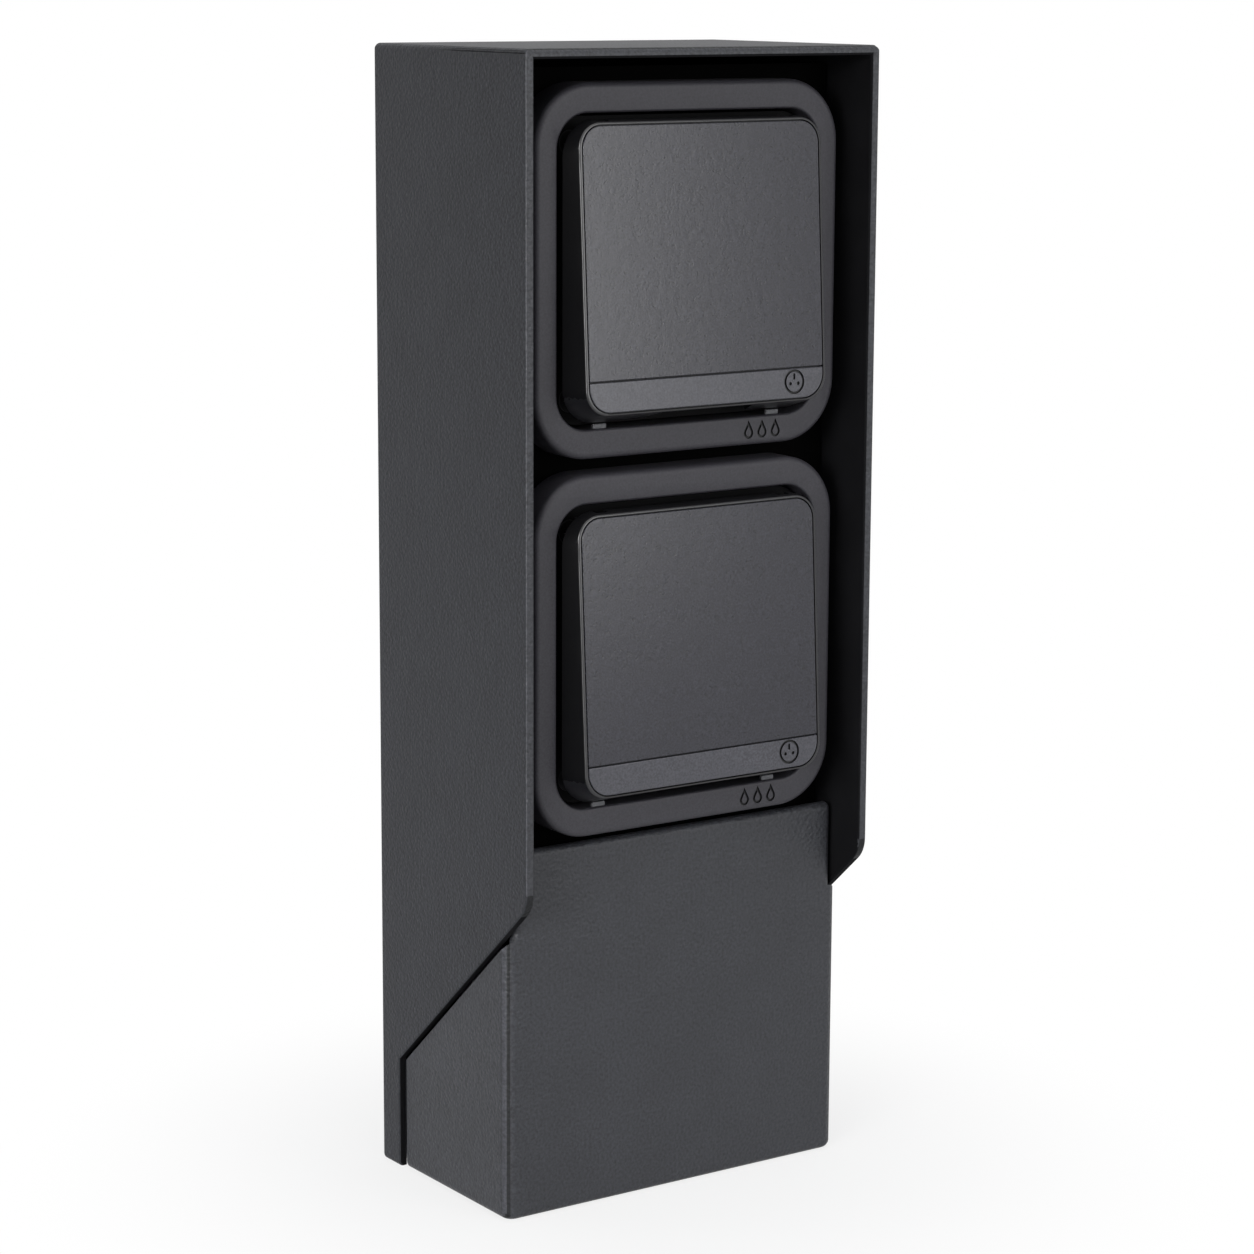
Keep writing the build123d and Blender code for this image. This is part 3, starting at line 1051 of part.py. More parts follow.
def make_cable_clips():
    clips = []
    x = GLAND_SPACING / 2
    outer = CABLE_RADIUS + CLIP_WALL
    first = CENTRES["lower"] - CLIP_DROP
    for low in (first, first + CLIP_SPACING):
        high = low + CLIP_WIDTH
        clip = rod_z(x, CABLE_BACK_Y, low, high, outer)
        clip += box(x - outer, x + outer, CABLE_BACK_Y, BACK_INNER, low, high)
        clip -= rod_z(x, CABLE_BACK_Y, low - OVERRUN, high + OVERRUN, CABLE_RADIUS)
        clips.append(clip)
    return clips


def make_socket_leads(name, centre):
    """The three leads from the sheath's end up behind the contact carrier and into the clamps."""
    start_z = centre - BOX_HEIGHT / 2 + BOX_WALL + SHEATH_END
    lane = (BLOCK_REAR + BOX_REAR - BOX_WALL) / 2
    leads = []
    for i, (x, z) in enumerate(clamp_places(centre)):
        angle = math.radians((210, 330, 90)[i])
        sx = LEAD_CIRCLE * math.cos(angle)
        sy = BOX_ENTRY_Y + LEAD_CIRCLE * math.sin(angle)
        bore = z - CLAMP_BORE_RADIUS
        points = [(sx, sy, start_z), (sx, sy, start_z + LEAD_STRAIGHT), (x, lane, start_z + LEAD_CLIMB),
                  (x, lane, bore), (x, CLAMP_FRONT + CLAMP_SIZE / 2, bore)]
        leads.append(held_tube(f"{name} lead {i}", points, LEAD_RADIUS))
    return leads


# Writes the enclosure
node("hood", make_hood())
node("base_cover", make_base_cover())
node("socket_carrier", make_socket_carrier())
node("foot_plate", make_foot_plate())
node("cable_grommet", make_cable_grommet())
node("chassis_screws", *[back_screw(x, z) for x, z in chassis_screw_places()])
node("junction_box", make_junction_box())
node("junction_box_cover", make_junction_box_cover())
node("junction_box_screws", *make_junction_box_screws())
node("junction_box_glands", *make_junction_box_glands())
node("terminal_block", make_terminal_block())
node("terminal_block_screws", *make_terminal_block_screws())
node("lower_feed_cable", make_lower_feed_cable())
node("upper_feed_cable", make_upper_feed_cable())
node("cable_clips", *make_cable_clips())
node("cover_screws", *[back_screw(x * COVER_SCREW_X, COVER_LUG_CENTRE) for x in (-1, 1)])
node("foot_screws", *[back_screw(x * FOOT_SCREW_SPACING / 2, FOOT_SCREW_HEIGHT) for x in (-1, 1)])

# Writes the two sockets with their lids
for name, centre in CENTRES.items():
    node(f"{name}_back_box", make_back_box(centre))
    node(f"{name}_box_grommet", make_box_grommet(centre))
    node(f"{name}_frame", make_frame(centre))
    node(f"{name}_frame_gasket", make_frame_gasket(centre))
    node(f"{name}_socket_insert", make_socket_insert(centre))
    node(f"{name}_socket_well", make_socket_well(centre))
    node(f"{name}_insert_screws", *make_insert_screws(centre))
    node(f"{name}_contact_carrier", make_contact_carrier(centre))
    node(f"{name}_contact_sleeves", *[make_contact_sleeve(x * PIN_SPACING / 2, centre) for x in (-1, 1)])
    node(f"{name}_earth_pin", make_earth_pin(centre))
    node(f"{name}_terminal_screws", *make_terminal_screws(centre))
    node(f"{name}_shutter", make_shutter(centre))
    node(f"{name}_shutter_spring", make_shutter_spring(centre))
    node(f"{name}_lid", make_lid(centre))
    node(f"{name}_lid_panel", make_lid_panel(centre))
    node(f"{name}_lid_strip", make_lid_strip(centre))
    node(f"{name}_lid_gasket", make_lid_gasket(centre))
    node(f"{name}_hinge_pin", make_hinge_pin(centre))
    node(f"{name}_lid_springs", *make_lid_springs(centre))
    node(f"{name}_lid_stops", *make_lid_stops(centre))
    node(f"{name}_socket_leads", *make_socket_leads(name, centre))
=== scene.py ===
import json
import math

import bmesh
import bpy
from bpy.props import FloatProperty, FloatVectorProperty, IntProperty, PointerProperty
from mathutils import Matrix, Vector


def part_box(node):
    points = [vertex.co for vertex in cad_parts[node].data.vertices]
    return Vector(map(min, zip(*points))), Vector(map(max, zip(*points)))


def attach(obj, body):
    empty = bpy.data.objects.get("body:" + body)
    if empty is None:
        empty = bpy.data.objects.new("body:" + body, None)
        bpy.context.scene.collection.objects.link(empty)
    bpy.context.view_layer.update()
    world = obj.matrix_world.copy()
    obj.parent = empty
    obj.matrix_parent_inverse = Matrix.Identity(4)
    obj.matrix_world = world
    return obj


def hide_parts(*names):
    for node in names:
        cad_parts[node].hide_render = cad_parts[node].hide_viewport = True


# Looks of a garden socket post: coated sheet hood and base, two moulded frames with hinged lids.
# Metres. X is the width, -Y faces the user, +Z is up, the origin is on the ground.
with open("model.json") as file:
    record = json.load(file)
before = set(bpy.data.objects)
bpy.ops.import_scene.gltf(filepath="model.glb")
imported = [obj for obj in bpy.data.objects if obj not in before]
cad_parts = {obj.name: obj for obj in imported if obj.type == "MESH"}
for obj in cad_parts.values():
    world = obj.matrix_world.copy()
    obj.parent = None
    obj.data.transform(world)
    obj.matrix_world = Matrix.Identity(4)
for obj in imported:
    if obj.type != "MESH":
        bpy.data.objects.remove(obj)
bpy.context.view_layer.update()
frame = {"nodes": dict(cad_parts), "record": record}

bl_info = {
    "name": "Garden socket post",
    "version": (1, 0, 0),
    "blender": (4, 5, 0),
    "location": "View3D > Sidebar > Socket post",
    "description": "Builds the finishes and small parts of a garden socket post",
    "category": "Object",
}

MM = 0.001
SIDES = ("upper", "lower")
SHARP = math.radians(40)     # faces that meet at more than this have an edge between them
FLAT = math.radians(0.4)     # and at less than this they are one flat or round face
JOIN = 0.004 * MM            # points nearer than this are one point
EDGE_WEIGHTS = "bevel_weight_edge"      # the attribute that says which edges a bevel rounds
OVERRUN = 1.0 * MM           # how far a cutter stands out of the face that it cuts
BELLY_SHARE = 0.31           # radius of a drop mark's belly as a share of its height
HEAD_SIDES, SHANK_SIDES = 40, 24        # of the round parts of a screw
CROSS_ARM = 0.38             # width of an arm of a cross recess as a share of the recess's radius


def srgb(text):
    """Linear colour of an sRGB hex value."""
    channels = []
    for i in (1, 3, 5):
        value = int(text[i:i + 2], 16) / 255
        channels.append(value / 12.92 if value <= 0.04045 else ((value + 0.055) / 1.055) ** 2.4)
    return tuple(channels)


def length(name, description, default):
    """A length that the user sets in the panel."""
    return FloatProperty(name=name, description=description, default=default, unit="LENGTH", precision=5)


def colour(name, description, default):
    """A colour that the user sets in the panel."""
    return FloatVectorProperty(name=name, description=description, default=srgb(default), size=3,
                               subtype="COLOR", min=0.0, max=1.0)


# What the frame says about places
def body_of(node):
    """The CAD body that carries a node."""
    for body, nodes in frame["record"]["behaviour"]["bodies"].items():
        if node in nodes:
            return body
    raise ValueError("no body carries " + node)


def slot_of(node):
    """The record's material slot of a node."""
    for part in frame["record"]["subparts"]:
        if part["node"] == node:
            return part["material_slot"]
    raise ValueError("no slot for " + node)


def centre_height(side):
    """Height of a socket's centre: the middle of its frame."""
    low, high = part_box(side + "_frame")
    return (low.z + high.z) / 2


LID_TILT = math.radians(3.3)
LID_NORMAL = Vector((0, -math.cos(LID_TILT), math.sin(LID_TILT)))
HOOD_LOW, HOOD_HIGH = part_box("hood")
SHEET = 2.5 * MM         # thickness of the hood's walls
CUT_TOP = 82.5 * MM      # below it the hood's front edges run back to clear the base cover
ROUND_TOP = 89.4 * MM    # where the rounding above that cut starts
COVER_BEND = 3.4 * MM    # width of the bends beside the base cover's front
TURNED = 0.3             # a face whose normal has this share of a direction is turned that way
EVEN = 0.1               # and one with less than this share isn't turned that way at all
SKIN = 0.05 * MM         # a face this far below a surface belongs to what is sunk into it
MARK_X = 23.2 * MM       # the drop marks' middle lies this far right of a frame's centre
MARK_DOWN = 42.7 * MM    # and this far below it
SIGN_X = 26.9 * MM       # the socket sign's middle lies this far right of a lid's centre
SIGN_DOWN = 29.9 * MM    # and this far below it


class SizeSettings(bpy.types.PropertyGroup):
    """Sizes that scene pieces take."""

    sheet_edge: length("Sheet edge", "Rounding of the cut edges of coated sheet", 0.6 * MM)
    mould_edge: length("Mould edge", "Rounding of the edges of moulded parts", 0.3 * MM)
    fine_edge: length("Fine edge", "Rounding of the lid's panel and strip and of the inserts", 0.22 * MM)
    coat_grain: length("Coat grain", "Size of the powder coat's grain", 0.8 * MM)
    coat_relief: length("Coat relief", "Height of the powder coat's grain", 0.15 * MM)
    spark_grain: length("Eroded grain", "Size of the moulded parts' grain", 0.55 * MM)
    spark_relief: length("Eroded relief", "Height of the moulded parts' grain", 0.02 * MM)
    sign_radius: length("Sign radius", "Outer radius of the socket sign", 3.2 * MM)
    sign_line: length("Sign line", "Line width of the sunk signs", 0.65 * MM)
    mark_depth: length("Mark depth", "Depth of the signs sunk into the plastic", 0.4 * MM)
    drop_height: length("Drop height", "Height of one drop mark", 4.8 * MM)
    drop_pitch: length("Drop pitch", "Distance between drop marks", 4.3 * MM)
    drops: IntProperty(name="Drops", description="How many drop marks a frame has", default=3, min=0, max=5)


class ColourSettings(bpy.types.PropertyGroup):
    """Colours of the finishes."""

    # The hood has the base cover's powder coat, set darker as painted shade
    hood: colour("Hood coat", "Powder coat of the hood", "#26272b")
    base: colour("Base coat", "Powder coat of the base cover", "#2b2c30")
    # Lighter copy of the coat: painted highlight on the hood's front edges and on the base cover's front
    # bends, not a thicker coat
    coat_edge: colour("Coat edge", "Thicker coat along cut edges", "#2e2f33")
    # Lighter copy of the coat: painted highlight lines where coated sheet starts to bend
    bend_line: colour("Bend line", "Light lines where coated sheet starts to bend", "#393a3f")
    # Darker copy of the coat: painted shade on the hood's right front edge, on its cut edges above the slit
    # beside the base cover and in the middle of the base cover's front bends, not a thinner coat
    thin: colour("Thin coat", "Darker, thinner coat in bends and on edges that face down", "#151618")
    # Near-black: painted shade inside the hood and in the slit beside the base cover
    inner: colour("Inner coat", "Unlit inside of the hood", "#101012")
    frame: colour("Frame", "Moulded frames", "#2f2e33")
    # Black lid shells, darkened further as painted shade; the same black is the painted shade in the sunk
    # drop marks and socket sign
    lid: colour("Lid", "Lid shells", "#0a0a0c")
    # Lighter, glossier copy of the lid's black: painted highlight on the rim round the panel and on the
    # underside
    lid_rim_highlight: colour("Lid rim", "Rim of the lid shells round the panel, and their underside", "#18181b")
    panel: colour("Panel", "Lid panels", "#24242b")
    strip: colour("Strip", "Label strips of the lids", "#3a3a40")
    # Black plastic, darkened to near black as painted shade where the inserts sit behind the frames
    insert: colour("Insert", "Socket inserts", "#050506")
    well: colour("Well", "Plug wells inside the inserts", "#161618")
    # Grey stops, darkened as painted shade under the lids
    stop: colour("Stop", "Small stops under the lids", "#515255")


# Materials
def add(tree, kind, settings=None, inputs=None, links=None):
    """Adds a node with its settings, its input values and its links."""
    node = tree.nodes.new(kind)
    for key, value in (settings or {}).items():
        setattr(node, key, value)
    for key, value in (inputs or {}).items():
        node.inputs[key].default_value = value
    for key, source in (links or {}).items():
        tree.links.new(source, node.inputs[key])
    return node


def new_material(name, roughness, specular=0.5):
    """A material with only its output and a principled shader."""
    material = bpy.data.materials.new(name)
    material.use_nodes = True
    tree = material.node_tree
    tree.nodes.clear()
    output = add(tree, "ShaderNodeOutputMaterial")
    shader = add(tree, "ShaderNodeBsdfPrincipled")
    shader.inputs["Roughness"].default_value = roughness
    shader.inputs["Specular IOR Level"].default_value = specular
    tree.links.new(shader.outputs["BSDF"], output.inputs["Surface"])
    return material, tree, shader


def grain_height(tree, size, detail, roughness):
    """Noise on object coordinates whose features are about one size across."""
    place = add(tree, "ShaderNodeTexCoord")
    return add(tree, "ShaderNodeTexNoise", {"noise_dimensions": "3D"},
               {"Scale": 1 / size, "Detail": detail, "Roughness": roughness},
               {"Vector": place.outputs["Object"]})


def two_tone(tree, source, base, share, low=0.35, high=0.65):
    """Colours that run from darker to lighter than the base as a pattern rises."""
    ramp = add(tree, "ShaderNodeValToRGB", links={"Fac": source})
    for element, place, factor in zip(ramp.color_ramp.elements, (low, high), (1 - share, 1 + share)):
        element.position = place
        element.color = tuple(c * factor for c in base) + (1.0,)
    return ramp


def mottled(tree, shader, base, share, size, grain=None, grain_share=0.0):
    """Base colour that drifts slowly, with the lighter peaks of a grain where one is given."""
    drift = grain_height(tree, size, detail=3.0, roughness=0.5)
    colour_source = two_tone(tree, drift.outputs["Fac"], base, share).outputs["Color"]
    if grain is not None:
        peaks = two_tone(tree, grain, (1.0, 1.0, 1.0), grain_share, low=0.3, high=0.7)
        product = add(tree, "ShaderNodeMix", {"data_type": "RGBA", "blend_type": "MULTIPLY"}, {0: 1.0},
                      {6: colour_source, 7: peaks.outputs["Color"]})
        colour_source = product.outputs[2]
    tree.links.new(colour_source, shader.inputs["Base Color"])


def relief(tree, shader, heights, distance):
    """Bump from the sum of weighted heights."""
    total = None
    for source, weight in heights:
        scaled = add(tree, "ShaderNodeMath", {"operation": "MULTIPLY"}, {1: weight}, {0: source})
        if total is None:
            total = scaled
        else:
            total = add(tree, "ShaderNodeMath", {"operation": "ADD"},
                        links={0: total.outputs[0], 1: scaled.outputs[0]})
    bump = add(tree, "ShaderNodeBump", inputs={"Distance": distance, "Strength": 1.0},
               links={"Height": total.outputs[0]})
    tree.links.new(bump.outputs["Normal"], shader.inputs["Normal"])


def powder_coat(name, base, roughness, specular):
    """Fine textured polyester powder coat, cured on steel: a dull skin with a pebbled, leathery grain."""
    sizes = bpy.context.scene.socket_post_sizes
    material, tree, shader = new_material(name, roughness, specular)
    pebble = grain_height(tree, sizes.coat_grain, detail=2.0, roughness=0.55)
    mottled(tree, shader, base, share=0.06, size=14 * MM, grain=pebble.outputs["Fac"], grain_share=0.4)
    place = add(tree, "ShaderNodeTexCoord")
    cell = add(tree, "ShaderNodeTexVoronoi", {"feature": "SMOOTH_F1"},
               {"Scale": 0.8 / sizes.coat_grain, "Smoothness": 0.7}, {"Vector": place.outputs["Object"]})
    swell = grain_height(tree, 6 * MM, detail=1.0, roughness=0.5)
    relief(tree, shader, [(pebble.outputs["Fac"], 1.0), (cell.outputs["Distance"], 0.9),
                          (swell.outputs["Fac"], 0.8)], sizes.coat_relief)
    return material


def inner_painted_shade():
    """Near-black matt copy of the coat: painted shade inside the hood, where light hardly reaches, and on its
    lower cut edges.
    """
    material, tree, shader = new_material("painted_shade_inner_coat", roughness=0.8, specular=0.06)
    mottled(tree, shader, bpy.context.scene.socket_post_colours.inner, share=0.15, size=12 * MM)
    grain = grain_height(tree, 0.9 * MM, detail=2.0, roughness=0.5)
    relief(tree, shader, [(grain.outputs["Fac"], 1.0)], 0.03 * MM)
    return material


def eroded_plastic(name, base, roughness, specular=0.3, relief_share=1.0, grain_share=0.22):
    """Glass filled polyamide from a spark eroded mould: satin, with a fine even grain."""
    sizes = bpy.context.scene.socket_post_sizes
    material, tree, shader = new_material(name, roughness, specular)
    fine = grain_height(tree, sizes.spark_grain, detail=3.0, roughness=0.6)
    mottled(tree, shader, base, share=0.04, size=18 * MM, grain=fine.outputs["Fac"], grain_share=grain_share)
    coarse = grain_height(tree, 4 * sizes.spark_grain, detail=2.0, roughness=0.5)
    relief(tree, shader, [(fine.outputs["Fac"], 1.0), (coarse.outputs["Fac"], 1.2)],
           relief_share * sizes.spark_relief)
    return material


def plain_plastic(name, base, roughness, specular=0.5):
    """Moulded polypropylene from a polished mould: even colour with faint flow marks."""
    material, tree, shader = new_material(name, roughness, specular)
    shader.inputs["IOR"].default_value = 1.49
    mottled(tree, shader, srgb(base), share=0.04, size=9 * MM)
    flow = grain_height(tree, 2.5 * MM, detail=2.0, roughness=0.5)
    relief(tree, shader, [(flow.outputs["Fac"], 1.0)], 0.01 * MM)
    return material


def rubber(name, base):
    """Moulded ethylene rubber: dull, with a dusty bloom."""
    material, tree, shader = new_material(name, roughness=0.82)
    shader.inputs["IOR"].default_value = 1.52
    mottled(tree, shader, srgb(base), share=0.18, size=5 * MM)
    bloom = grain_height(tree, 0.4 * MM, detail=2.0, roughness=0.5)
    relief(tree, shader, [(bloom.outputs["Fac"], 1.0)], 0.01 * MM)
    return material


def metal(name, base, roughness, mark):
    """Turned or plated metal: bright, with fine tool marks across the axis."""
    material, tree, shader = new_material(name, roughness)
    shader.inputs["Metallic"].default_value = 1.0
    mottled(tree, shader, srgb(base), share=0.08, size=4 * MM)
    place = add(tree, "ShaderNodeTexCoord")
    stretch = add(tree, "ShaderNodeMapping", inputs={"Scale": (1.0, 0.08, 1.0)},
                  links={"Vector": place.outputs["Object"]})
    marks = add(tree, "ShaderNodeTexNoise", inputs={"Scale": 1 / mark, "Detail": 2.0},
                links={"Vector": stretch.outputs["Vector"]})
    relief(tree, shader, [(marks.outputs["Fac"], 1.0)], 0.008 * MM)
    return material


def make_finishes():
    """Every finish of the post, by the record's slot names and a few of the scene's own."""
    colours = bpy.context.scene.socket_post_colours
    return {
        "powder_coat": powder_coat("powder_coat", colours.base, 0.5, specular=0.3),
        # the hood's copy of the base coat, darker as painted shade
        "hood_coat": powder_coat("hood_powder_coat", colours.hood, 0.5, specular=0.19),
        # painted highlight: a lighter copy of the coat
        "powder_coat_edge": powder_coat("powder_coat_edge", colours.coat_edge, 0.42, specular=0.3),
        # painted highlight lines along bends
        "bend_line": powder_coat("bend_line_powder_coat", colours.bend_line, 0.42, specular=0.3),
        # painted shade: a darker copy of the coat
        "thin_coat": powder_coat("painted_shade_powder_coat", colours.thin, 0.5, specular=0.19),
        # painted shade: the near-black inside of the hood
        "inner_painted_shade": inner_painted_shade(),
        # Black coated steel, set near black as painted shade where it shows between the frames
        "black_steel": plain_plastic("black_coated_steel", "#010101", 0.8, specular=0.03),
        "zinc_steel": metal("zinc_plated_steel", "#a9acaf", 0.34, mark=0.5 * MM),
        "stainless_steel": metal("stainless_steel", "#9fa1a3", 0.3, mark=0.4 * MM),
        "blackened_steel": metal("blackened_steel", "#2b2b2d", 0.42, mark=0.4 * MM),
        "spring_steel": metal("spring_steel", "#8d9094", 0.28, mark=0.3 * MM),
        "brass": metal("turned_brass", "#c8a55c", 0.28, mark=0.4 * MM),
        "black_rubber": rubber("ethylene_rubber", "#141414"),
        "grey_plastic": plain_plastic("grey_polypropylene", "#8f9293", 0.45),
        "white_plastic": plain_plastic("white_thermoset", "#cfcdc6", 0.4),
        "black_plastic": plain_plastic("black_polypropylene", "#101011", 0.5),
        "cable_sheath": plain_plastic("cable_sheath_pvc", "#121213", 0.42),
        "lead_insulation": plain_plastic("lead_insulation_pvc", "#6d4a30", 0.38),
        "insert_plastic": eroded_plastic("insert_polyamide", colours.insert, 0.6, specular=0.07),
        "well_plastic": eroded_plastic("well_polyamide", colours.well, 0.42, specular=0.4, relief_share=0.5),
        "shutter_plastic": plain_plastic("shutter_polycarbonate", "#2a2a2d", 0.35),
        "frame_plastic": eroded_plastic("frame_polyamide", colours.frame, 0.5),
        "lid_plastic": eroded_plastic("lid_polyamide", colours.lid, 0.4, specular=0.2),
        # painted highlight on the lids' rim and underside
        "lid_rim_highlight_plastic": eroded_plastic("lid_rim_highlight_polyamide", colours.lid_rim_highlight, 0.28, specular=0.5,
                                          relief_share=0.3),
        "panel_plastic": eroded_plastic("panel_polyamide", colours.panel, 0.2, specular=0.4,
                                        relief_share=0.9, grain_share=0.5),
        "strip_plastic": eroded_plastic("strip_polyamide", colours.strip, 0.24, specular=0.4,
                                        relief_share=0.9, grain_share=0.35),
        "stop_plastic": eroded_plastic("stop_polyamide", colours.stop, 0.5),
    }


# Meshes
def merged(node):
    """A bmesh of a node with its loose triangles joined and its flat areas made whole."""
    source = frame["nodes"][node].data
    mesh = bmesh.new()
    points = [mesh.verts.new(v.co) for v in source.vertices]
    for polygon in source.polygons:
        mesh.faces.new([points[i] for i in polygon.vertices])
    bmesh.ops.remove_doubles(mesh, verts=mesh.verts, dist=JOIN)
    bmesh.ops.dissolve_degenerate(mesh, edges=mesh.edges, dist=JOIN / 2)
    bmesh.ops.dissolve_limit(mesh, angle_limit=FLAT, verts=mesh.verts, edges=mesh.edges)
    return mesh


def as_object(name, mesh):
    """A scene object from a bmesh."""
    data = bpy.data.meshes.new(name)
    mesh.to_mesh(data)
    mesh.free()
    piece = bpy.data.objects.new(name, data)
    bpy.context.scene.collection.objects.link(piece)
    return piece


def baked(piece):
    """Puts a piece's modifiers into its mesh."""
    bpy.context.view_layer.update()
    graph = bpy.context.evaluated_depsgraph_get()
    data = bpy.data.meshes.new_from_object(piece.evaluated_get(graph))
    piece.modifiers.clear()
    piece.data = data
    data.name = piece.name
    return piece


def soften(piece, width, segments=3, angle=SHARP):
    """Rounds the sharp edges, or only those with a weight, and keeps the shading of flat areas flat."""
    bevel = piece.modifiers.new("soft_edges", "BEVEL")
    bevel.width = width
    bevel.segments = segments
    bevel.limit_method = "WEIGHT" if EDGE_WEIGHTS in piece.data.attributes else "ANGLE"
    bevel.angle_limit = angle
    bevel.harden_normals = True
    bevel.use_clamp_overlap = True
    for polygon in piece.data.polygons:
        polygon.use_smooth = True
    return baked(piece)


def cut(piece, cutter):
    """Takes a cutter's space out of a piece."""
    boolean = piece.modifiers.new("cut", "BOOLEAN")
    boolean.operation = "DIFFERENCE"
    boolean.solver = "EXACT"
    boolean.object = cutter
    baked(piece)
    bpy.data.objects.remove(cutter)
    return piece


def finish_piece(piece, node, finishes, *materials):
    """Gives a piece its finishes, lets it ride on the node's body and stand for the node."""
    piece.data.materials.clear()
    for material in materials:
        piece.data.materials.append(finishes[material])
    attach(piece, body_of(node))
    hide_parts(node)
    return piece


def paint(node, finishes, material=None):
    """Gives a CAD node its finish."""
    piece = frame["nodes"][node]
    piece.data.materials.clear()
    piece.data.materials.append(finishes[material or slot_of(node)])


def ring_cutter(name, outer, inner, place):
    """A closed band between two outlines with as many points each, sunk to a depth by place(u, v, out)."""
    mesh = bmesh.new()
    loops = [[mesh.verts.new(place(u, v, out)) for u, v in outline]
             for outline, out in ((outer, 0), (outer, 1), (inner, 1), (inner, 0))]
    count = len(outer)
    for a, b in zip(loops, loops[1:] + loops[:1]):
        for i in range(count):
            j = (i + 1) % count
            mesh.faces.new([a[i], a[j], b[j], b[i]])
    bmesh.ops.recalc_face_normals(mesh, faces=mesh.faces)
    return as_object(name, mesh)


def plug_cutter(name, outline, place):
    """A closed prism over one outline."""
    mesh = bmesh.new()
    low = [mesh.verts.new(place(u, v, 0)) for u, v in outline]
    high = [mesh.verts.new(place(u, v, 1)) for u, v in outline]
    mesh.faces.new(low)
    mesh.faces.new(high)
    count = len(outline)
    for i in range(count):
        j = (i + 1) % count
        mesh.faces.new([low[i], low[j], high[j], high[i]])
    bmesh.ops.recalc_face_normals(mesh, faces=mesh.faces)
    return as_object(name, mesh)


def circle(radius, count, u=0.0, v=0.0):
    """Points of a circle."""
    return [(u + radius * math.cos(2 * math.pi * i / count), v + radius * math.sin(2 * math.pi * i / count))
            for i in range(count)]


def rounded_bar(width, height, count, u=0.0, v=0.0):
    """Points of an upright bar with round ends."""
    points = []
    radius = width / 2
    for end, start in ((1, 0.0), (-1, math.pi)):
        for i in range(count + 1):
            angle = start + math.pi * i / count
            middle = v + end * (height / 2 - radius)
            points.append((u + radius * math.cos(angle), middle + radius * math.sin(angle)))
    return points


def drop(height, inset, count, u=0.0, v=0.0):
    """Points of a water drop: a round belly whose sides run up to a tip."""
    radius = BELLY_SHARE * height
    belly = v - height / 2 + radius
    tip = v + height / 2
    lean = math.asin(radius / (tip - belly))
    points = []
    for i in range(count + 1):
        angle = math.pi - lean + (math.pi + 2 * lean) * i / count
        points.append((u + (radius - inset) * math.cos(angle), belly + (radius - inset) * math.sin(angle)))
    points.append((u, tip - inset / math.sin(lean)))
    return points


# Pieces
FINISHES = {}


class SOCKETPOST_OT_finishes(bpy.types.Operator):
    """Make the finishes and give every CAD node its own"""

    bl_idname = "socketpost.finishes"
    bl_label = "Finishes"

    def execute(self, context):
        FINISHES.update(make_finishes())
        for part in frame["record"]["subparts"]:
            paint(part["node"], FINISHES)
        return {"FINISHED"}


